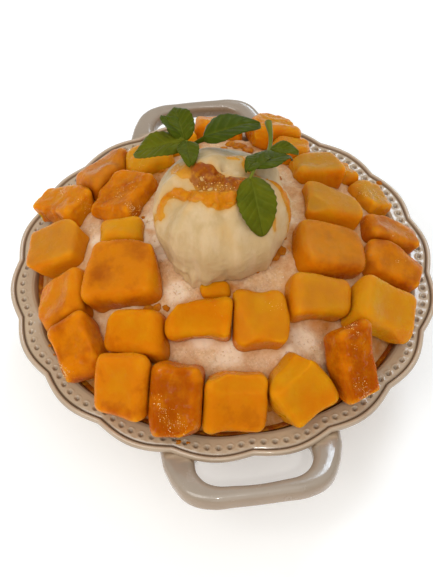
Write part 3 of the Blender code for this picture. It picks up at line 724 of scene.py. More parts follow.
def dish_profile():
    """Inside, flange with a fine step at the lip, rolled lip, outside and ring foot."""
    flange = RIM_RADIUS - FLANGE_WIDTH
    ridge = RIM_RADIUS - LIP_WIDTH
    top = RIM_HEIGHT - FLANGE_DROP
    inside = smooth_profile(
        (
            (0.30 * RIM_RADIUS, FLOOR_HEIGHT + 0.0002),
            (0.50 * RIM_RADIUS, FLOOR_HEIGHT + 0.0010),
            (0.70 * RIM_RADIUS, FLOOR_HEIGHT + 0.0090),
            (0.82 * RIM_RADIUS, RIM_HEIGHT - 0.0130),
            (flange - 0.0016, RIM_HEIGHT - 0.0022),
            (flange, top - 0.0002),
        ),
        4,
    )
    flat = [(radius, top) for radius in np.linspace(flange + 0.0005, ridge - 0.0011, 22)]
    step = [(ridge - 0.0008, top - 0.0002), (ridge - 0.0005, top - 0.0003), (ridge - 0.0002, top)]
    lip = []
    for share in np.linspace(0, 1, 10):
        turn = math.pi * (0.94 - 1.35 * share)
        height = RIM_HEIGHT - 0.0016 + 0.0016 * math.sin(turn)
        lip.append((RIM_RADIUS - 0.0012 + 0.0012 * math.cos(turn), height))
    under = [(RIM_RADIUS - 0.0016, RIM_HEIGHT - 0.0040), (flange + 0.0020, RIM_HEIGHT - 0.0057)]
    outside = smooth_profile(
        (
            (flange - 0.0010, RIM_HEIGHT - 0.0080),
            (0.82 * RIM_RADIUS + WALL, RIM_HEIGHT - 0.0150),
            (0.70 * RIM_RADIUS + WALL, FLOOR_HEIGHT + 0.0030),
            (FOOT_RADIUS + 0.0024, FOOT_HEIGHT + 0.0022),
            (FOOT_RADIUS + 0.0003, FOOT_HEIGHT - 0.0014),
            (FOOT_RADIUS - 0.0004, 0.0003),
        ),
        4,
    )
    foot = [
        (FOOT_RADIUS - 0.0009, 0.0),
        (FOOT_RADIUS - FOOT_WIDTH + 0.0006, 0.0),
        (FOOT_RADIUS - FOOT_WIDTH - 0.0002, 0.0006),
        (FOOT_RADIUS - FOOT_WIDTH - 0.0015, FOOT_HEIGHT),
        (0.3 * RIM_RADIUS, FOOT_HEIGHT),
    ]
    return inside + flat + step + lip + under + outside + foot


def dimple_distance(points):
    """Distance from every point to the middle of the nearest pit, seen from above."""
    angle = np.arctan2(points[:, 1], points[:, 0])
    pitch = 2 * math.pi / DIMPLES
    nearest = math.pi / 2 + np.round((angle - math.pi / 2) / pitch) * pitch
    radius = (RIM_RADIUS - DIMPLE_INSET) * scalloped(nearest)
    return np.hypot(points[:, 0] - radius * np.cos(nearest), points[:, 1] - radius * np.sin(nearest))


def handle_outlines():
    """Outer and inner plan outlines of one handle, as in the part's source."""
    half, root, reach = HANDLE_HALF_WIDTH, HANDLE_ROOT_RADIUS, HANDLE_REACH
    inner = reach - HANDLE_BAR
    right = (
        (0.30 * half, root * 0.985), (0.62 * half, root * 0.955), (0.96 * half, root * 0.915),
        (1.02 * half, 0.940 * RIM_RADIUS), (0.98 * half, 1.000 * RIM_RADIUS), (0.93 * half, reach - 0.0120),
        (0.79 * half, reach - 0.0045), (0.56 * half, reach - 0.0006), (0.26 * half, reach),
    )
    hole = (
        (0.30 * half, 0.9350 * RIM_RADIUS), (0.62 * half, 0.9280 * RIM_RADIUS),
        (0.660 * half, 0.985 * RIM_RADIUS), (0.635 * half, inner - 0.0068),
        (0.52 * half, inner - 0.0020), (0.26 * half, inner),
    )
    return [list(points) + [(-x, y) for x, y in reversed(points)] for points in (right, hole)]


def make_handle(turn):
    """One handle as a rounded outline with a finger hole."""
    curve = bpy.data.curves.new("handle", "CURVE")
    curve.dimensions = "2D"
    curve.fill_mode = "BOTH"
    curve.resolution_u = 10
    curve.bevel_depth = HANDLE_EDGE
    curve.bevel_resolution = 4
    curve.offset = -HANDLE_EDGE
    curve.extrude = HANDLE_THICKNESS / 2 - HANDLE_EDGE
    for points in handle_outlines():
        outline = curve.splines.new("BEZIER")
        outline.bezier_points.add(len(points) - 1)
        for point, (x, y) in zip(outline.bezier_points, points):
            point.co = (x, y, 0)
            point.handle_left_type = "AUTO"
            point.handle_right_type = "AUTO"
        outline.use_cyclic_u = True
    pivot = Vector((0, HANDLE_PIVOT, 0))
    tilt = Matrix.Translation(pivot) @ Matrix.Rotation(HANDLE_TILT, 4, "X") @ Matrix.Translation(-pivot)
    place = Matrix.Translation((0, 0, RIM_HEIGHT - HANDLE_DROP)) @ Matrix.Rotation(turn, 4, "Z") @ tilt
    return new_object("handle", curve_mesh(curve, place))


def bowl_mesh():
    """The dish without its handles: scallops, pits and the slight unevenness of a hand-glazed piece."""
    columns = DIMPLES * COLUMNS_PER_DIMPLE
    angle = math.pi / 2 + np.arange(columns) * 2 * math.pi / columns
    rows = [ring(angle, radius * scalloped(angle, radius), height) for radius, height in dish_profile()]
    mesh = skin("dish_glazed", rows, (0, 0, FLOOR_HEIGHT), (0, 0, FOOT_HEIGHT))
    points = get_points(mesh)
    away = dimple_distance(points)
    on_top = points[:, 2] > RIM_HEIGHT - FLANGE_DROP - 0.0004
    pit = -DIMPLE_DEPTH * np.sqrt(np.clip(1 - (away / DIMPLE_RADIUS) ** 2, 0, 1))
    collar = 0.00022 * bump_at(away, DIMPLE_RADIUS * 1.35, 0.0004)
    points[:, 2] += np.where(on_top, pit + collar, 0)
    low = points[:, 2] < FOOT_HEIGHT
    hand = uneven(points, (0.00018, 55, 1), (0.00007, 160, 2))
    points[:, 2] += np.where(low, 0, hand)
    set_points(mesh, points)
    return mesh


def join_handles(dish):
    """Fuse both handles to the dish."""
    joins = bpy.data.collections.new("handle_joins")
    for turn in (0.0, math.pi):
        handle = make_handle(turn)
        bpy.context.scene.collection.objects.unlink(handle)
        joins.objects.link(handle)
    union = dish.modifiers.new("Union", "BOOLEAN")
    union.operation = "UNION"
    union.solver = "MANIFOLD"
    union.operand_type = "COLLECTION"
    union.collection = joins
    mesh = apply_modifiers(dish)
    for item in list(joins.objects):
        bpy.data.objects.remove(item, do_unlink=True)
    bpy.data.collections.remove(joins)
    return mesh


def mark_glaze(mesh):
    """Marks for the glaze: dark in the pits and along the edge, pale on the band and lip, and painted sky
    light on flat places beyond the rim.
    """
    points = get_points(mesh)
    radial = np.hypot(points[:, 0], points[:, 1])
    inset = RIM_RADIUS - radial / scalloped(np.arctan2(points[:, 1], points[:, 0]))
    above = points[:, 2] > RIM_HEIGHT - 0.0028
    away = dimple_distance(points)
    line = bump_at(inset, LIP_WIDTH + 0.0004, 0.00042) * (0.75 + 0.25 * lattice_noise(points, 90, 3))
    outer = 0.35 * bump_at(inset, 0.0, 0.0004)
    band = smooth_step(inset, LIP_WIDTH, LIP_WIDTH + 0.0008)
    band = band * smooth_step(-inset, -FLANGE_WIDTH - 0.001, -FLANGE_WIDTH)
    beyond = smooth_step(radial, RIM_RADIUS - 0.001, RIM_RADIUS + 0.001)
    rolled = smooth_step(-inset, -LIP_WIDTH, -LIP_WIDTH + 0.0006) * (1 - beyond)
    set_attribute(mesh, "pit", np.where(above, 0.80 * smooth_step(-away, -0.0014, -0.0004), 0))
    set_attribute(mesh, "edge", np.clip(np.where(above, line + outer, 0), 0, 1))
    set_attribute(mesh, "band", np.where(above, band, 0))
    set_attribute(mesh, "lip", np.where(above, rolled, 0))
    # Upward faces beyond the rim, where the glaze gets painted sky light
    set_attribute(mesh, "flat", smooth_step(get_normals(mesh)[:, 2], 0.2, 0.98) * beyond)


def make_dish():
    """The whole dish in one skin."""
    dish = new_object("dish_glazed", bowl_mesh())
    mesh = join_handles(dish)
    mark_glaze(mesh)
    paint(mesh, glaze_material())
    dress(dish, "stoneware_glaze", "dish")
    mesh.set_sharp_from_angle(angle=math.radians(50))


# Mango cubes


def cut_corners(mesh, number):
    """Flat slanting cuts over a few corners, as a knife leaves them."""
    choice = np.random.default_rng(100 + number)
    points = get_points(mesh)
    middle = points.mean(0)
    for _ in range(CUTS_PER_CUBE):
        normal = choice.normal(0, 1, 3) + np.sign(choice.normal(0, 1, 3)) * 0.8
        normal /= np.linalg.norm(normal)
        along = (points - middle) @ normal
        limit = CUT_SHARE * along.max()
        points -= np.clip(along - limit, 0, None)[:, None] * normal
    set_points(mesh, points)


def soften_cube(cube, number):
    """Round the cube's edges and corners and give it back the reach that this takes."""
    cells = cube.modifiers.new("Cells", "REMESH")
    cells.mode = "VOXEL"
    cells.voxel_size = CUBE_VOXEL
    mesh = apply_modifiers(cube)
    start = np.ptp(get_points(mesh), axis=0)
    cut_corners(mesh, number)
    soften = cube.modifiers.new("Soften", "SMOOTH")
    soften.factor = 0.5
    soften.iterations = round(CUBE_ROUNDING * CUBE_LOOKS[number][0] ** 2)
    mesh = apply_modifiers(cube)
    points = get_points(mesh)
    middle = points.mean(0)
    growth = (start / np.ptp(points, axis=0)).mean()
    set_points(mesh, middle + (points - middle) * growth)


def surface_of(mesh):
    """Corner points and triangles of a mesh."""
    mesh.calc_loop_triangles()
    triangles = np.zeros(len(mesh.loop_triangles) * 3, np.int32)
    mesh.loop_triangles.foreach_get("vertices", triangles)
    return get_points(mesh), triangles.reshape(-1, 3)


def edge_ends(mesh):
    """The two ends of every edge, and how many edges meet at every point."""
    edges = np.zeros(len(mesh.edges) * 2, np.int32)
    mesh.edges.foreach_get("vertices", edges)
    first, second = edges.reshape(-1, 2).T
    return first, second, np.maximum(np.bincount(edges, minlength=len(mesh.vertices)), 1)


def spread_out(mesh, values, rounds):
    """Values at the mesh's points, averaged over their neighbours a number of times."""
    first, second, count = edge_ends(mesh)
    for _ in range(rounds):
        total = np.bincount(first, values[second], len(values))
        total += np.bincount(second, values[first], len(values))
        values = 0.5 * values + 0.5 * total / count
    return values


def crest_of(mesh):
    """From 0 on flat and hollow places to 1 on sharp edges and corners."""
    points, normals = get_points(mesh), get_normals(mesh)
    first, second, count = edge_ends(mesh)
    along = points[second] - points[first]
    bend = ((normals[second] - normals[first]) * along).sum(1) / np.maximum((along ** 2).sum(1), 1e-12)
    total = np.bincount(first, bend, len(points)) + np.bincount(second, bend, len(points))
    return smooth_step(spread_out(mesh, total / count, 10), *CREST_BENDS)


def room_around(points, surfaces):
    """Signed distance from every point to the nearest of the surfaces, less than 0 inside one."""
    corners, triangles, base = [], [], 0
    for places, sides in surfaces:
        corners.append(places)
        triangles.append(sides + base)
        base += len(places)
    tree = BVHTree.FromPolygons(np.concatenate(corners).tolist(), np.concatenate(triangles).tolist())
    room = np.zeros(len(points))
    for index, point in enumerate(points):
        place, normal, _, away = tree.find_nearest(point)
        room[index] = away if (Vector(point) - place).dot(normal) >= 0 else -away
    return room


def make_tree(clouds):
    """A search tree over several clouds of points."""
    tree = KDTree(sum(len(cloud) for cloud in clouds))
    index = 0
    for cloud in clouds:
        for point in cloud:
            tree.insert(point, index)
            index += 1
    tree.balance()
    return tree


def make_mango():
    """Every cube from its own solid: cut, rounded, made uneven, and swollen nearly up to its neighbours."""
    material = mango_material()
    cubes = {}
    for node in sorted(name for name in frame["nodes"] if name.startswith("mango_")):
        number = int(node.split("_")[1])
        cubes[number] = new_object(node + "_flesh", frame["nodes"][node].data.copy(), material)
        soften_cube(cubes[number], number)
    surfaces = {number: surface_of(cube.data) for number, cube in cubes.items()}
    fixed = [surface_of(frame["nodes"][node].data) for node in ("dish", "ice_cream")]
    for number, cube in cubes.items():
        dress_cube(cube, number, surfaces, fixed, material)
    return cubes


def dress_cube(cube, number, surfaces, fixed, material):
    """Swell, unevenness and colours of one cube."""
    _, ripe, pale, wet = CUBE_LOOKS[number]
    mesh = cube.data
    points, normals = get_points(mesh), get_normals(mesh)
    middle = points.mean(0)
    near = [surface for other, surface in surfaces.items()
            if other != number and np.linalg.norm(surface[0].mean(0) - middle) < NEIGHBOUR_REACH]
    beside = room_around(points, near)
    still = room_around(points, fixed)
    turn = Matrix.Rotation(number * 1.7, 3, "Z") @ Matrix.Rotation(number * 0.9, 3, "X")
    local = (points - middle) @ np.array(turn)
    sway = uneven(points, (0.0011, 38, number), (0.0006, 90, number), (0.00035, 210, number))
    fibre = 0.00010 * lattice_noise(local * (1, 0.22, 1), 800, number)
    if number in PULPY_CUBES:
        fibre += uneven(points, (0.00060, 300, number), (0.00030, 800, number))
    swell = np.clip(0.5 * beside, 0, CUBE_SWELL) * (1 - smooth_step(beside, 0.003, 0.013))
    shift = np.minimum(swell + sway, 0.5 * beside - CUBE_CLEARANCE)
    shift = np.where(still > 0, np.minimum(shift, still - CUBE_CLEARANCE), shift)
    shift = spread_out(mesh, np.clip(shift, -0.0028, 0.0028), 14) + fibre
    shift = np.minimum(shift, np.where(beside > 0, 0.5 * beside - CUBE_CLEARANCE, 0.0))
    shift = np.where(still > 0, np.minimum(shift, still - CUBE_CLEARANCE), shift)
    set_points(mesh, points + normals * spread_out(mesh, shift, 1)[:, None])
    height = points[:, 2] - mound_heights(points)
    low = 1 - smooth_step(height, -0.001, 0.006)
    close = np.exp(-((np.clip(beside, 0, 1) / 0.0020) ** 2))
    lie = (points[:, 2] - middle[2]) / np.ptp(points[:, 2])
    # Ripeness plus painted light: yellower towards the top of each cube, deeper orange towards its bottom
    ripeness_and_painted_light = ripe - 0.35 * lie + 0.22 * lattice_noise(points, 55, number + 200)
    set_attribute(mesh, "ripe", np.clip(ripeness_and_painted_light, -0.3, 1.3))
    # Painted shade: deeper orange where the cube meets its neighbours and near the ice
    set_attribute(mesh, "painted_contact_shade", np.clip(0.20 * close + 0.40 * low, 0, 0.55))
    # Upward faces: partly frost, partly painted sky sheen
    set_attribute(mesh, "pale", pale * smooth_step(normals[:, 2], 0.30, 0.92) * (1 - close))
    # Painted light along sharp edges
    set_attribute(mesh, "crest", crest_of(mesh) * (1 - low) * (1 - close))
    set_attribute(mesh, "wet", max(0.0, 1.2 * wet - 0.15))
    paint(mesh, material)
    dress(cube, "mango_flesh", f"mango_{number:02d}")


# Shaved ice


def mound_height(x, y):
    """Top of the shaved ice above the table, as in the part's source."""
    radius = math.hypot(x, y)
    dome = RIM_HEIGHT + MOUND_RISE * (1 - (radius / MOUND_RADIUS) ** 2)
    lumps = LUMP_HEIGHT * noise.noise(Vector((x, y, 0.3)) * LUMPS_PER_METRE)
    edge = min(1.0, max(0.0, (MOUND_SHORE - radius) / MOUND_SHORE_WIDTH))
    return POOL_LEVEL + (dome + lumps - POOL_LEVEL) * edge ** 0.7


def mound_heights(points):
    return np.array([mound_height(x, y) for x, y in points[:, :2]])


def under_profile():
    """The side and underside of the ice, just inside the bowl."""
    flange = RIM_RADIUS - FLANGE_WIDTH
    inner = (
        (0.0, FLOOR_HEIGHT), (0.50 * RIM_RADIUS, FLOOR_HEIGHT + 0.0010),
        (0.70 * RIM_RADIUS, FLOOR_HEIGHT + 0.0090), (0.82 * RIM_RADIUS, RIM_HEIGHT - 0.0130),
        (flange - 0.0016, RIM_HEIGHT - 0.0022),
    )
    rows = [(max(0.0, radius - GAP), height + GAP * 1.3) for radius, height in reversed(inner)]
    return [(rows[0][0] - 0.0018, POOL_LEVEL)] + rows[1:-1]


def patches(points, spots):
    """From 0 to 1 inside uneven round patches, each given by x, y and radius in mm."""
    total = np.zeros(len(points))
    ragged = 1 + uneven(points, (0.45, 160, 7), (0.25, 420, 8))
    for x, y, radius in spots:
        away = np.hypot(points[:, 0] * 1000 - x, points[:, 1] * 1000 - y)
        total = np.maximum(total, 1 - smooth_step(away * ragged, 0.45 * radius, 1.25 * radius))
    return total


def make_mound(cubes):
    """The mound of ice, grainy and slightly heaped against every cube."""
    angle = np.arange(MOUND_COLUMNS) * 2 * math.pi / MOUND_COLUMNS
    radii = np.concatenate((np.linspace(0.002, 0.014, 7), np.linspace(0.0146, 0.0850, 128)))
    rows = [ring(angle, radius, 1.0) for radius in radii]
    rows += [ring(angle, radius, height) for radius, height in under_profile()]
    floor = (0, 0, FLOOR_HEIGHT + GAP * 1.3)
    mesh = skin("ice_mound", rows, (0, 0, 1.0), floor)
    points = get_points(mesh)
    top = points[:, 2] > 0.5
    tree = make_tree([get_points(cube.data)[::2] for cube in cubes])
    surface = points[top]
    surface[:, 2] = mound_heights(surface)
    near = np.array([tree.find(point)[2] for point in surface])
    radial = np.hypot(surface[:, 0], surface[:, 1])
    inland = smooth_step(-radial, -0.0868, -0.0825)
    heap = 0.0009 * np.exp(-((near / 0.0022) ** 2))
    rough = uneven(surface, (0.00080, 140, 1), (0.00050, 330, 2), (0.00030, 700, 3), (0.00015, 1400, 4))
    surface[:, 2] += (heap + rough) * inland
    points[top] = surface
    set_points(mesh, points)
    stain, bright = np.full(len(points), 0.9), np.zeros(len(points))
    shore = smooth_step(radial, 0.074, 0.084)
    syrup = smooth_step(uneven(surface, (1, 60, 5), (0.5, 140, 6)), 0.15, 0.75)
    close = 0.55 * np.exp(-((near / 0.0024) ** 2))
    clean, soaked = patches(surface, BRIGHT_ICE), patches(surface, SOAKED_ICE)
    wet = 0.65 * shore + 0.25 * syrup + close
    stain[top] = np.clip(wet * (1 - 0.7 * clean) + 0.6 * soaked, 0, 0.95)
    bright[top] = clean * (1 - shore)
    set_attribute(mesh, "stain", stain)
    set_attribute(mesh, "bright", bright)
    mound = new_object("ice_mound", mesh, ice_material())
    dress(mound, "shaved_ice", "shaved_ice")
    return mound


def add_crystal(points, faces, place, size, flat=1.0):
    """One more uneven grain of ice, pressed flat by the given share."""
    shape, sides = CRYSTAL
    stretch = shape * (rng.random(3) * 0.7 + 0.6) + rng.normal(0, 0.12, shape.shape)
    turn = np.array(Matrix.Rotation(rng.random() * 6.28, 3, Vector(rng.normal(0, 1, 3)).normalized()))
    faces.append(sides + len(points) * len(shape))
    points.append(stretch @ turn * size * (1, 1, flat) + place)


def grain_object(name, points, faces, stains, material):
    mesh = bpy.data.meshes.new(name)
    mesh.from_pydata(np.concatenate(points).tolist(), [], np.concatenate(faces).tolist())
    set_attribute(mesh, "stain", np.repeat(stains, len(CRYSTAL[0])))
    grains = new_object(name, mesh, material)
    dress(grains, "shaved_ice")


def make_grains(mound, blocks):
    """Flakes of ice lying on the mound wherever it is bare."""
    graph = bpy.context.evaluated_depsgraph_get()
    ground = BVHTree.FromObject(mound, graph)
    trees = [BVHTree.FromObject(item, graph) for item in blocks]
    stained = mound.data.attributes["stain"].data
    points, faces, stains = [], [], []
    for _ in range(FLAKES):
        radius = MOUND_SHORE * math.sqrt(rng.random()) * 0.995
        angle = rng.random() * 2 * math.pi
        size = 0.00018 + 0.00030 * rng.random() ** 2
        x, y = radius * math.cos(angle), radius * math.sin(angle)
        below, _, face, _ = ground.ray_cast(Vector((x, y, 0.1)), Vector((0, 0, -1)))
        if below is None or any(tree.ray_cast(below, Vector((0, 0, 1)), 0.02)[0] for tree in trees):
            continue
        add_crystal(points, faces, (x, y, below.z + 0.1 * size), size, 0.4)
        stains.append(stained[mound.data.polygons[face].vertices[0]].value)
    grain_object("ice_grains", points, faces, stains, GRAIN_MATERIAL)


def make_frost(cubes):
    """Crystals of ice that cling to the wettest cubes in clusters, and along the fold of the scoop; their
    bright colour is partly painted glint.
    """
    points, faces = [], []
    for number, x, y, radius, count in CLUSTERS:
        surface, normals = get_points(cubes[number].data), get_normals(cubes[number].data)
        away = np.hypot(surface[:, 0] * 1000 - x, surface[:, 1] * 1000 - y)
        spots = np.flatnonzero((away < 1.5 * radius) & (normals[:, 2] > -0.1))
        if not len(spots):
            continue
        chance = np.exp(-((away[spots] / radius) ** 2))
        chance *= 0.15 + (lattice_noise(surface[spots], 420, 60) > 0.1)
        chosen = rng.choice(spots, min(count, len(spots)), replace=False, p=chance / chance.sum())
        for index in chosen:
            size = 0.00011 + 0.00018 * rng.random() ** 3
            add_crystal(points, faces, surface[index] + normals[index] * 0.3 * size, size)
    for index in range(FOLD_CRYSTALS):
        azimuth = rng.uniform(-172, -66)
        elevation = 67 + 4 * math.sin(math.radians(azimuth + 200)) + rng.normal(0, 2.6)
        if index < STRAND_CRYSTALS:
            azimuth, elevation = rng.normal(-170, 5), rng.normal(46, 3)
        size = 0.00012 + 0.00028 * rng.random() ** 2
        place = on_scoop(np.array((direction_of(azimuth, elevation),)), 0.0007)[0]
        add_crystal(points, faces, place, size)
    grain_object("frost_and_painted_light", points, faces, np.zeros(len(points)), FROST_AND_GLINT_MATERIAL)


def make_syrup(material):
    """Syrup that stands at the edge of the dish, between the ice and its wall."""
    columns = 4 * DIMPLES
    angle = math.pi / 2 + np.arange(columns) * 2 * math.pi / columns
    shrink = scalloped(angle, SYRUP_REACH)
    rows = []
    for share, lift in SYRUP_SECTION:
        row = ring(angle, SYRUP_REACH * share * shrink, SYRUP_LEVEL + lift)
        row[:, 2] += uneven(row * (1, 1, 0), (0.00018, 90, 71), (0.0010, 45, 72))
        rows.append(row)
    mesh = skin("syrup_edge", rows + rows[:1])
    weld(mesh)
    set_attribute(mesh, "dark", 1.0)
    set_attribute(mesh, "thin", 0.0)
    dress(new_object("syrup_edge", mesh, material), "mango_flesh")


def make_spots(material):
    """Small spots of puree and syrup on the ice and on the rim."""
    items = []
    for number, (x, y, radius, height) in enumerate(SPOTS + RIM_DROPS):
        mesh = ball_mesh("spot", 4)
        ball = get_points(mesh)
        around = 1 + 0.30 * lattice_noise(ball + (0, 0, number), 1.1, 80)
        around += 0.12 * lattice_noise(ball, 3.0, 81 + number)
        points = ball * around[:, None] * np.array((1, 1, height)) * radius * 0.001
        points[:, :2] += np.array((x, y)) * 0.001
        if number < len(SPOTS):
            points[:, 2] += mound_heights(points) + 0.0003
        else:
            points[:, 2] += RIM_HEIGHT - FLANGE_DROP - 0.0001
        set_points(mesh, points)
        set_attribute(mesh, "dark", 0.45)
        set_attribute(mesh, "thin", 0.0)
        items.append(new_object(f"spot_{number}", mesh))
    spots = join("puree_spots", items, material)
    dress(spots, "mango_flesh")


# Ice cream and puree


def scoop_reach(direction):
    """How far the scoop's surface is from its middle along each direction, before it is squashed."""
    azimuth = np.arctan2(direction[:, 1], direction[:, 0])
    point = direction * SCOOP_RADIUS
    front = np.clip(-np.sin(azimuth), 0, None)
    away = np.clip(2.5 * np.hypot(point[:, 0], point[:, 1]) / SCOOP_RADIUS, 0, 1)
    low = np.clip(-direction[:, 2], 0, None)
    high = np.clip(2 * direction[:, 2], 0, 1)
    change = GROOVE_DEPTH * front * np.cos(GROOVES * azimuth) * away
    change += SKIRT_DEPTH * low * np.cos(SKIRT_LOBES * azimuth + 1.0)
    fold = (point[:, 1] + 0.002 - FOLD_SLANT * point[:, 0]) / FOLD_WIDTH
    change -= FOLD_DEPTH * np.exp(-(fold ** 2)) * high
    tear = lattice_noise(point, 260, 21)
    change += 0.0011 * bump_at(fold, -2.0, 0.75) * high * (1 + 0.6 * tear)
    change += 0.0012 * bump_at(fold, 1.7, 0.8) * high * (1 + 0.6 * tear)
    drag = np.stack((azimuth * 0.03, direction[:, 2] * 0.004, np.zeros(len(azimuth))), 1)
    change += 0.00060 * front * lattice_noise(drag, 300, 22) * away
    change += uneven(point, (0.00016, 520, 23), (0.00008, 1300, 24), (0.0005, 110, 25))
    foot = bump_at(azimuth, math.radians(-122), 0.42) * bump_at(direction[:, 2], -0.50, 0.22)
    change += 0.0042 * foot * (1 + 0.7 * lattice_noise(point, 330, 26))
    ragged = bump_at(direction[:, 2], -0.5, 0.16) * (0.5 + 0.5 * lattice_noise(point, 240, 27))
    change += 0.0016 * ragged
    change -= 0.0012 * np.exp(-(fold ** 2)) * high
    change -= 0.0026 * bump_at(azimuth, math.radians(62), 0.60) * smooth_step(direction[:, 2], 0.35, 0.75)
    return SCOOP_RADIUS + change


def on_scoop(direction, lift=0.0):
    reach = scoop_reach(direction) + lift
    return SCOOP_CENTRE + direction * reach[:, None] * (1, 1, SCOOP_SQUASH)


def sphere_rows(rows_count, columns):
    """Rows of directions from near the top of a ball to near its bottom."""
    azimuth = np.arange(columns) * 2 * math.pi / columns
    rows = []
    for elevation in np.linspace(math.radians(89), math.radians(-80), rows_count):
        rows.append(ring(azimuth, math.cos(elevation), math.sin(elevation)))
    return rows


def direction_of(azimuth, elevation):
    azimuth, elevation = math.radians(azimuth), math.radians(elevation)
    flat = math.cos(elevation)
    return (flat * math.cos(azimuth), flat * math.sin(azimuth), math.sin(elevation))


def strand_depth(direction, strands, crown, spread):
    """Depth of puree over each direction: a low crown over every strand, and less than 0 away from them."""
    depth = np.full(len(direction), -1.0)
    wander = uneven(direction * SCOOP_RADIUS, (0.0011, 190, 51), (0.0007, 460, 52))
    for strand in strands:
        for row in refine([(direction_of(*at), radius * 0.001) for *at, radius in strand]):
            centre = row[:3] / np.linalg.norm(row[:3])
            apart = np.linalg.norm(direction - centre, axis=1) * SCOOP_RADIUS
            half = spread * row[3] + wander
            dome = np.sqrt(np.clip(1 - (apart / half) ** 2, 0, 1))
            depth = np.maximum(depth, np.where(apart < half, crown * row[3] * dome, (half - apart) * 0.6))
    return depth


def puree_layers(direction):
    """Depths of the bright puree and of the dark pool in the fold over each direction."""
    depths = [
        np.max([strand_depth(direction, *run) for run in runs], axis=0) for runs in (BRIGHT_RUNS, DARK_RUNS)
    ]
    place = direction * SCOOP_RADIUS
    lumps = 1 + 0.25 * lattice_noise(place, 330, 53)
    holes = 0.0009 * smooth_step(uneven(place, (1, 270, 55), (0.5, 620, 56)), 0.35, 0.75)
    return [np.where(depth > 0, depth * lumps, depth) - holes for depth in depths]


def puree_depth(direction):
    return np.maximum(*puree_layers(direction))


def make_scoop():
    """The scoop: drag grooves down its front, a torn fold over its top and a melting foot."""
    rows = sphere_rows(*SCOOP_GRID)
    mesh = skin("cream_scoop", [on_scoop(row) for row in rows], *on_scoop(POLES))
    directions = np.concatenate(rows + [POLES])
    points = get_points(mesh)
    run = np.exp(np.minimum(puree_depth(directions), 0) / 0.0007)
    low = smooth_step(-directions[:, 2], 0.30, 0.70)
    wash = smooth_step(lattice_noise(points, 130, 31), 0.2, 0.8) * smooth_step(directions[:, 2], 0.1, 0.7)
    # Painted shade over the back of the scoop's top
    shaded_back = smooth_step(directions[:, 1], 0.05, 0.35) * smooth_step(directions[:, 2], 0.3, 0.8)
    set_attribute(mesh, "stain", np.clip(0.10 * low + 0.25 * wash + 0.75 * run, 0, 1))
    set_attribute(mesh, "painted_back_shade", shaded_back)
    scoop = new_object("cream_scoop", mesh, cream_material())
    dress(scoop, "ice_cream", "ice_cream")
    return scoop


def make_puree(material):
    """The layer of puree over the scoop, thick along the strands and thin between them."""
    rows = sphere_rows(*PUREE_GRID)
    points, depths = [], []
    for row in rows:
        depth = puree_depth(row)
        depths.append(depth)
        points.append(on_scoop(row, np.maximum(depth, -0.0006)))
    mesh = skin("puree", points, points[0].mean(0))
    depth = np.concatenate(depths + [np.zeros(1)])
    directions = np.concatenate(rows + [POLES[:1]])
    bright, dark = puree_layers(directions)
    share = smooth_step(dark - bright, -0.0004, 0.0006)
    blotch = lattice_noise(get_points(mesh), 260, 54)
    set_attribute(mesh, "dark", np.clip(0.95 * share + 0.15 * blotch, 0, 1))
    set_attribute(mesh, "thin", (1 - smooth_step(depth, 0.0002, 0.0009)) * (1 - 0.7 * share))
    shell = bmesh.new()
    shell.from_mesh(mesh)
    shell.verts.ensure_lookup_table()
    sunk = [vertex for vertex, value in zip(shell.verts, depth) if value < -0.0004]
    bmesh.ops.delete(shell, geom=sunk, context="VERTS")
    shell.to_mesh(mesh)
    shell.free()
    puree = new_object("puree", mesh, material)
    dress(puree, "ice_cream", "ice_cream")


# Mint


def make_leaf(name, base, tip, width, arch, roll, pale, stalk):
    """A mint leaf: toothed edge, sunken midrib and side veins, puckered between them, closed and thin."""
    base, tip = Vector(base) * 0.001, Vector(tip) * 0.001
    along = tip - base
    side = along.cross(Vector((0, 0, 1))).normalized()
    side = Matrix.Rotation(math.radians(roll), 3, along) @ side
    normal = side.cross(along).normalized()
    run_count, across_count = LEAF_GRID
    run = np.repeat(np.linspace(0, 1, run_count), across_count)
    across = np.tile(np.linspace(-1, 1, across_count), run_count)
    teeth = 0.075 * (1 - 2 * np.abs((run * 9 - 0.25) % 1 - 0.5))
    teeth = 1.0 + teeth * np.sin(math.pi * np.clip(run, 0.02, 1)) ** 0.3
    blade = np.clip((run - stalk) / (1 - stalk), 0, 1)
    outline = np.sin(math.pi * np.minimum(1.0, blade ** 0.80)) ** 0.62
    half = 0.0005 * width * teeth * outline * 0.96 + 0.00035
    lift = 4 * arch * 0.001 * run * (1 - run)
    size = width * 0.001
    slant = run * 6.5 - 1.7 * np.abs(across) - 0.2
    side_vein = np.exp(-(((slant - np.round(slant)) / 0.13) ** 2)) * (np.abs(across) > 0.04)
    midrib = np.exp(-((across / 0.07) ** 2))
    pucker = 0.030 * size * (1 - side_vein) * np.sin(math.pi * np.clip(np.abs(across), 0, 1)) * outline
    fold = 0.20 * np.abs(across) * half + 0.0004 * np.sin(9 * run + 2 * across)
    curl = -0.10 * size * np.abs(across) ** 3 * (0.6 + 0.4 * np.sin(7 * run))
    height = lift + fold + pucker - 0.028 * size * midrib + curl
    points = (
        np.array(base) + run[:, None] * np.array(along) + (across * half)[:, None] * np.array(side)
        + height[:, None] * np.array(normal)
    )
    grid = np.arange(run_count * across_count).reshape(run_count, across_count)
    quads = np.stack((grid[:-1, :-1], grid[1:, :-1], grid[1:, 1:], grid[:-1, 1:]), -1).reshape(-1, 4)
    mesh = bpy.data.meshes.new(name)
    mesh.from_pydata(points.tolist(), [], quads.tolist())
    mesh.update()
    set_attribute(mesh, "vein", np.clip(midrib + 0.55 * side_vein * outline, 0, 1))
    set_attribute(mesh, "pale", pale)
    leaf = new_object(name, mesh)
    sheet = leaf.modifiers.new("Thickness", "SOLIDIFY")
    sheet.thickness = LEAF_THICKNESS
    sheet.offset = 0.0
    apply_modifiers(leaf)
    return leaf


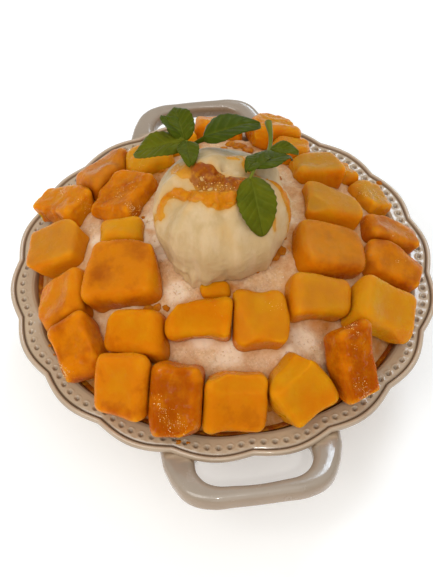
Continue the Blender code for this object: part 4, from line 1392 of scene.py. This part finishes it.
def make_sprig(name, node, stem, leaves, material):
    """One sprig: its stem with every leaf."""
    tube = make_tube(name + "_stem", [(np.array(row[:3]) * 0.001, row[3] * 0.001) for row in stem], 4)
    set_attribute(tube.data, "vein", 1.6)
    set_attribute(tube.data, "pale", 1.0)
    items = [tube] + [make_leaf(f"{name}_{number}", *leaf) for number, leaf in enumerate(leaves)]
    dress(join(name, items, material), "mint_leaf", node)


# Stage, light and camera


def make_stage():
    shell = bmesh.new()
    bmesh.ops.create_circle(shell, cap_ends=True, segments=96, radius=FLOOR_WIDTH / 2)
    mesh = bpy.data.meshes.new("floor")
    shell.to_mesh(mesh)
    shell.free()
    floor = new_object("floor", mesh, floor_material())
    floor.location.z = -0.0001


def add_sun(name, azimuth, elevation, strength, spread, colour):
    light = bpy.data.lights.new(name, "SUN")
    light.energy = strength
    light.angle = math.radians(spread)
    light.color = colour
    towards = Vector(direction_of(azimuth, elevation))
    new_object(name, light).rotation_euler = towards.to_track_quat("Z", "Y").to_euler()


def add_lamp(name, place, size, power, colour):
    """A round soft lamp that points at the dessert."""
    light = bpy.data.lights.new(name, "AREA")
    light.shape = "DISK"
    light.size = size
    light.energy = power
    light.color = colour
    item = new_object(name, light)
    item.location = place
    item.rotation_euler = (Vector(place) - Vector((0, 0, RIM_HEIGHT))).to_track_quat("Z", "Y").to_euler()


def make_light():
    world = bpy.data.worlds.new("studio")
    world.use_nodes = True
    background = world.node_tree.nodes["Background"].inputs
    background["Color"].default_value = SKY_COLOUR
    background["Strength"].default_value = SKY_STRENGTH
    bpy.context.scene.world = world
    add_lamp("lamp", *LAMP)
    for name, settings in SUNS.items():
        add_sun(name, *settings)


def make_camera():
    data = bpy.data.cameras.new("camera")
    data.lens = CAMERA_LENS
    camera = new_object("camera", data)
    rows = list(zip(CAMERA_RIGHT, CAMERA_UP, CAMERA_BACK, CAMERA_PLACE))
    camera.matrix_world = Matrix(rows + [(0, 0, 0, 1)])
    bpy.context.scene.camera = camera


# The twelve corners and twenty faces of a small rounded grain
CRYSTAL = surface_of(ball_mesh("crystal", 1))
GRAIN_MATERIAL = grain_material("ice_grain", (0.72, 0.48, 0.280), (0.88, 0.68, 0.47))
# Bright golden crystals: real frost whose pale colour also paints glints
FROST_AND_GLINT_MATERIAL = grain_material("frost_and_painted_light", (0.80, 0.40, 0.06), (0.95, 0.72, 0.34))


def main():
    make_camera()
    make_dish()
    cubes = make_mango()
    blocks = list(cubes.values())
    mound = make_mound(blocks)
    scoop = make_scoop()
    puree = puree_material()
    make_puree(puree)
    make_spots(puree)
    make_syrup(puree)
    make_grains(mound, blocks + [scoop])
    make_frost(cubes)
    mint = leaf_material()
    make_sprig("mint_sprig_left", "mint_left", LEFT_SPRIG_STEM, LEFT_SPRIG_LEAVES, mint)
    make_sprig("mint_sprig_right", "mint_right", RIGHT_SPRIG_STEM, RIGHT_SPRIG_LEAVES, mint)
    make_stage()
    make_light()
    bpy.context.scene.view_settings.view_transform = "Standard"
    bpy.context.view_layer.update()


main()
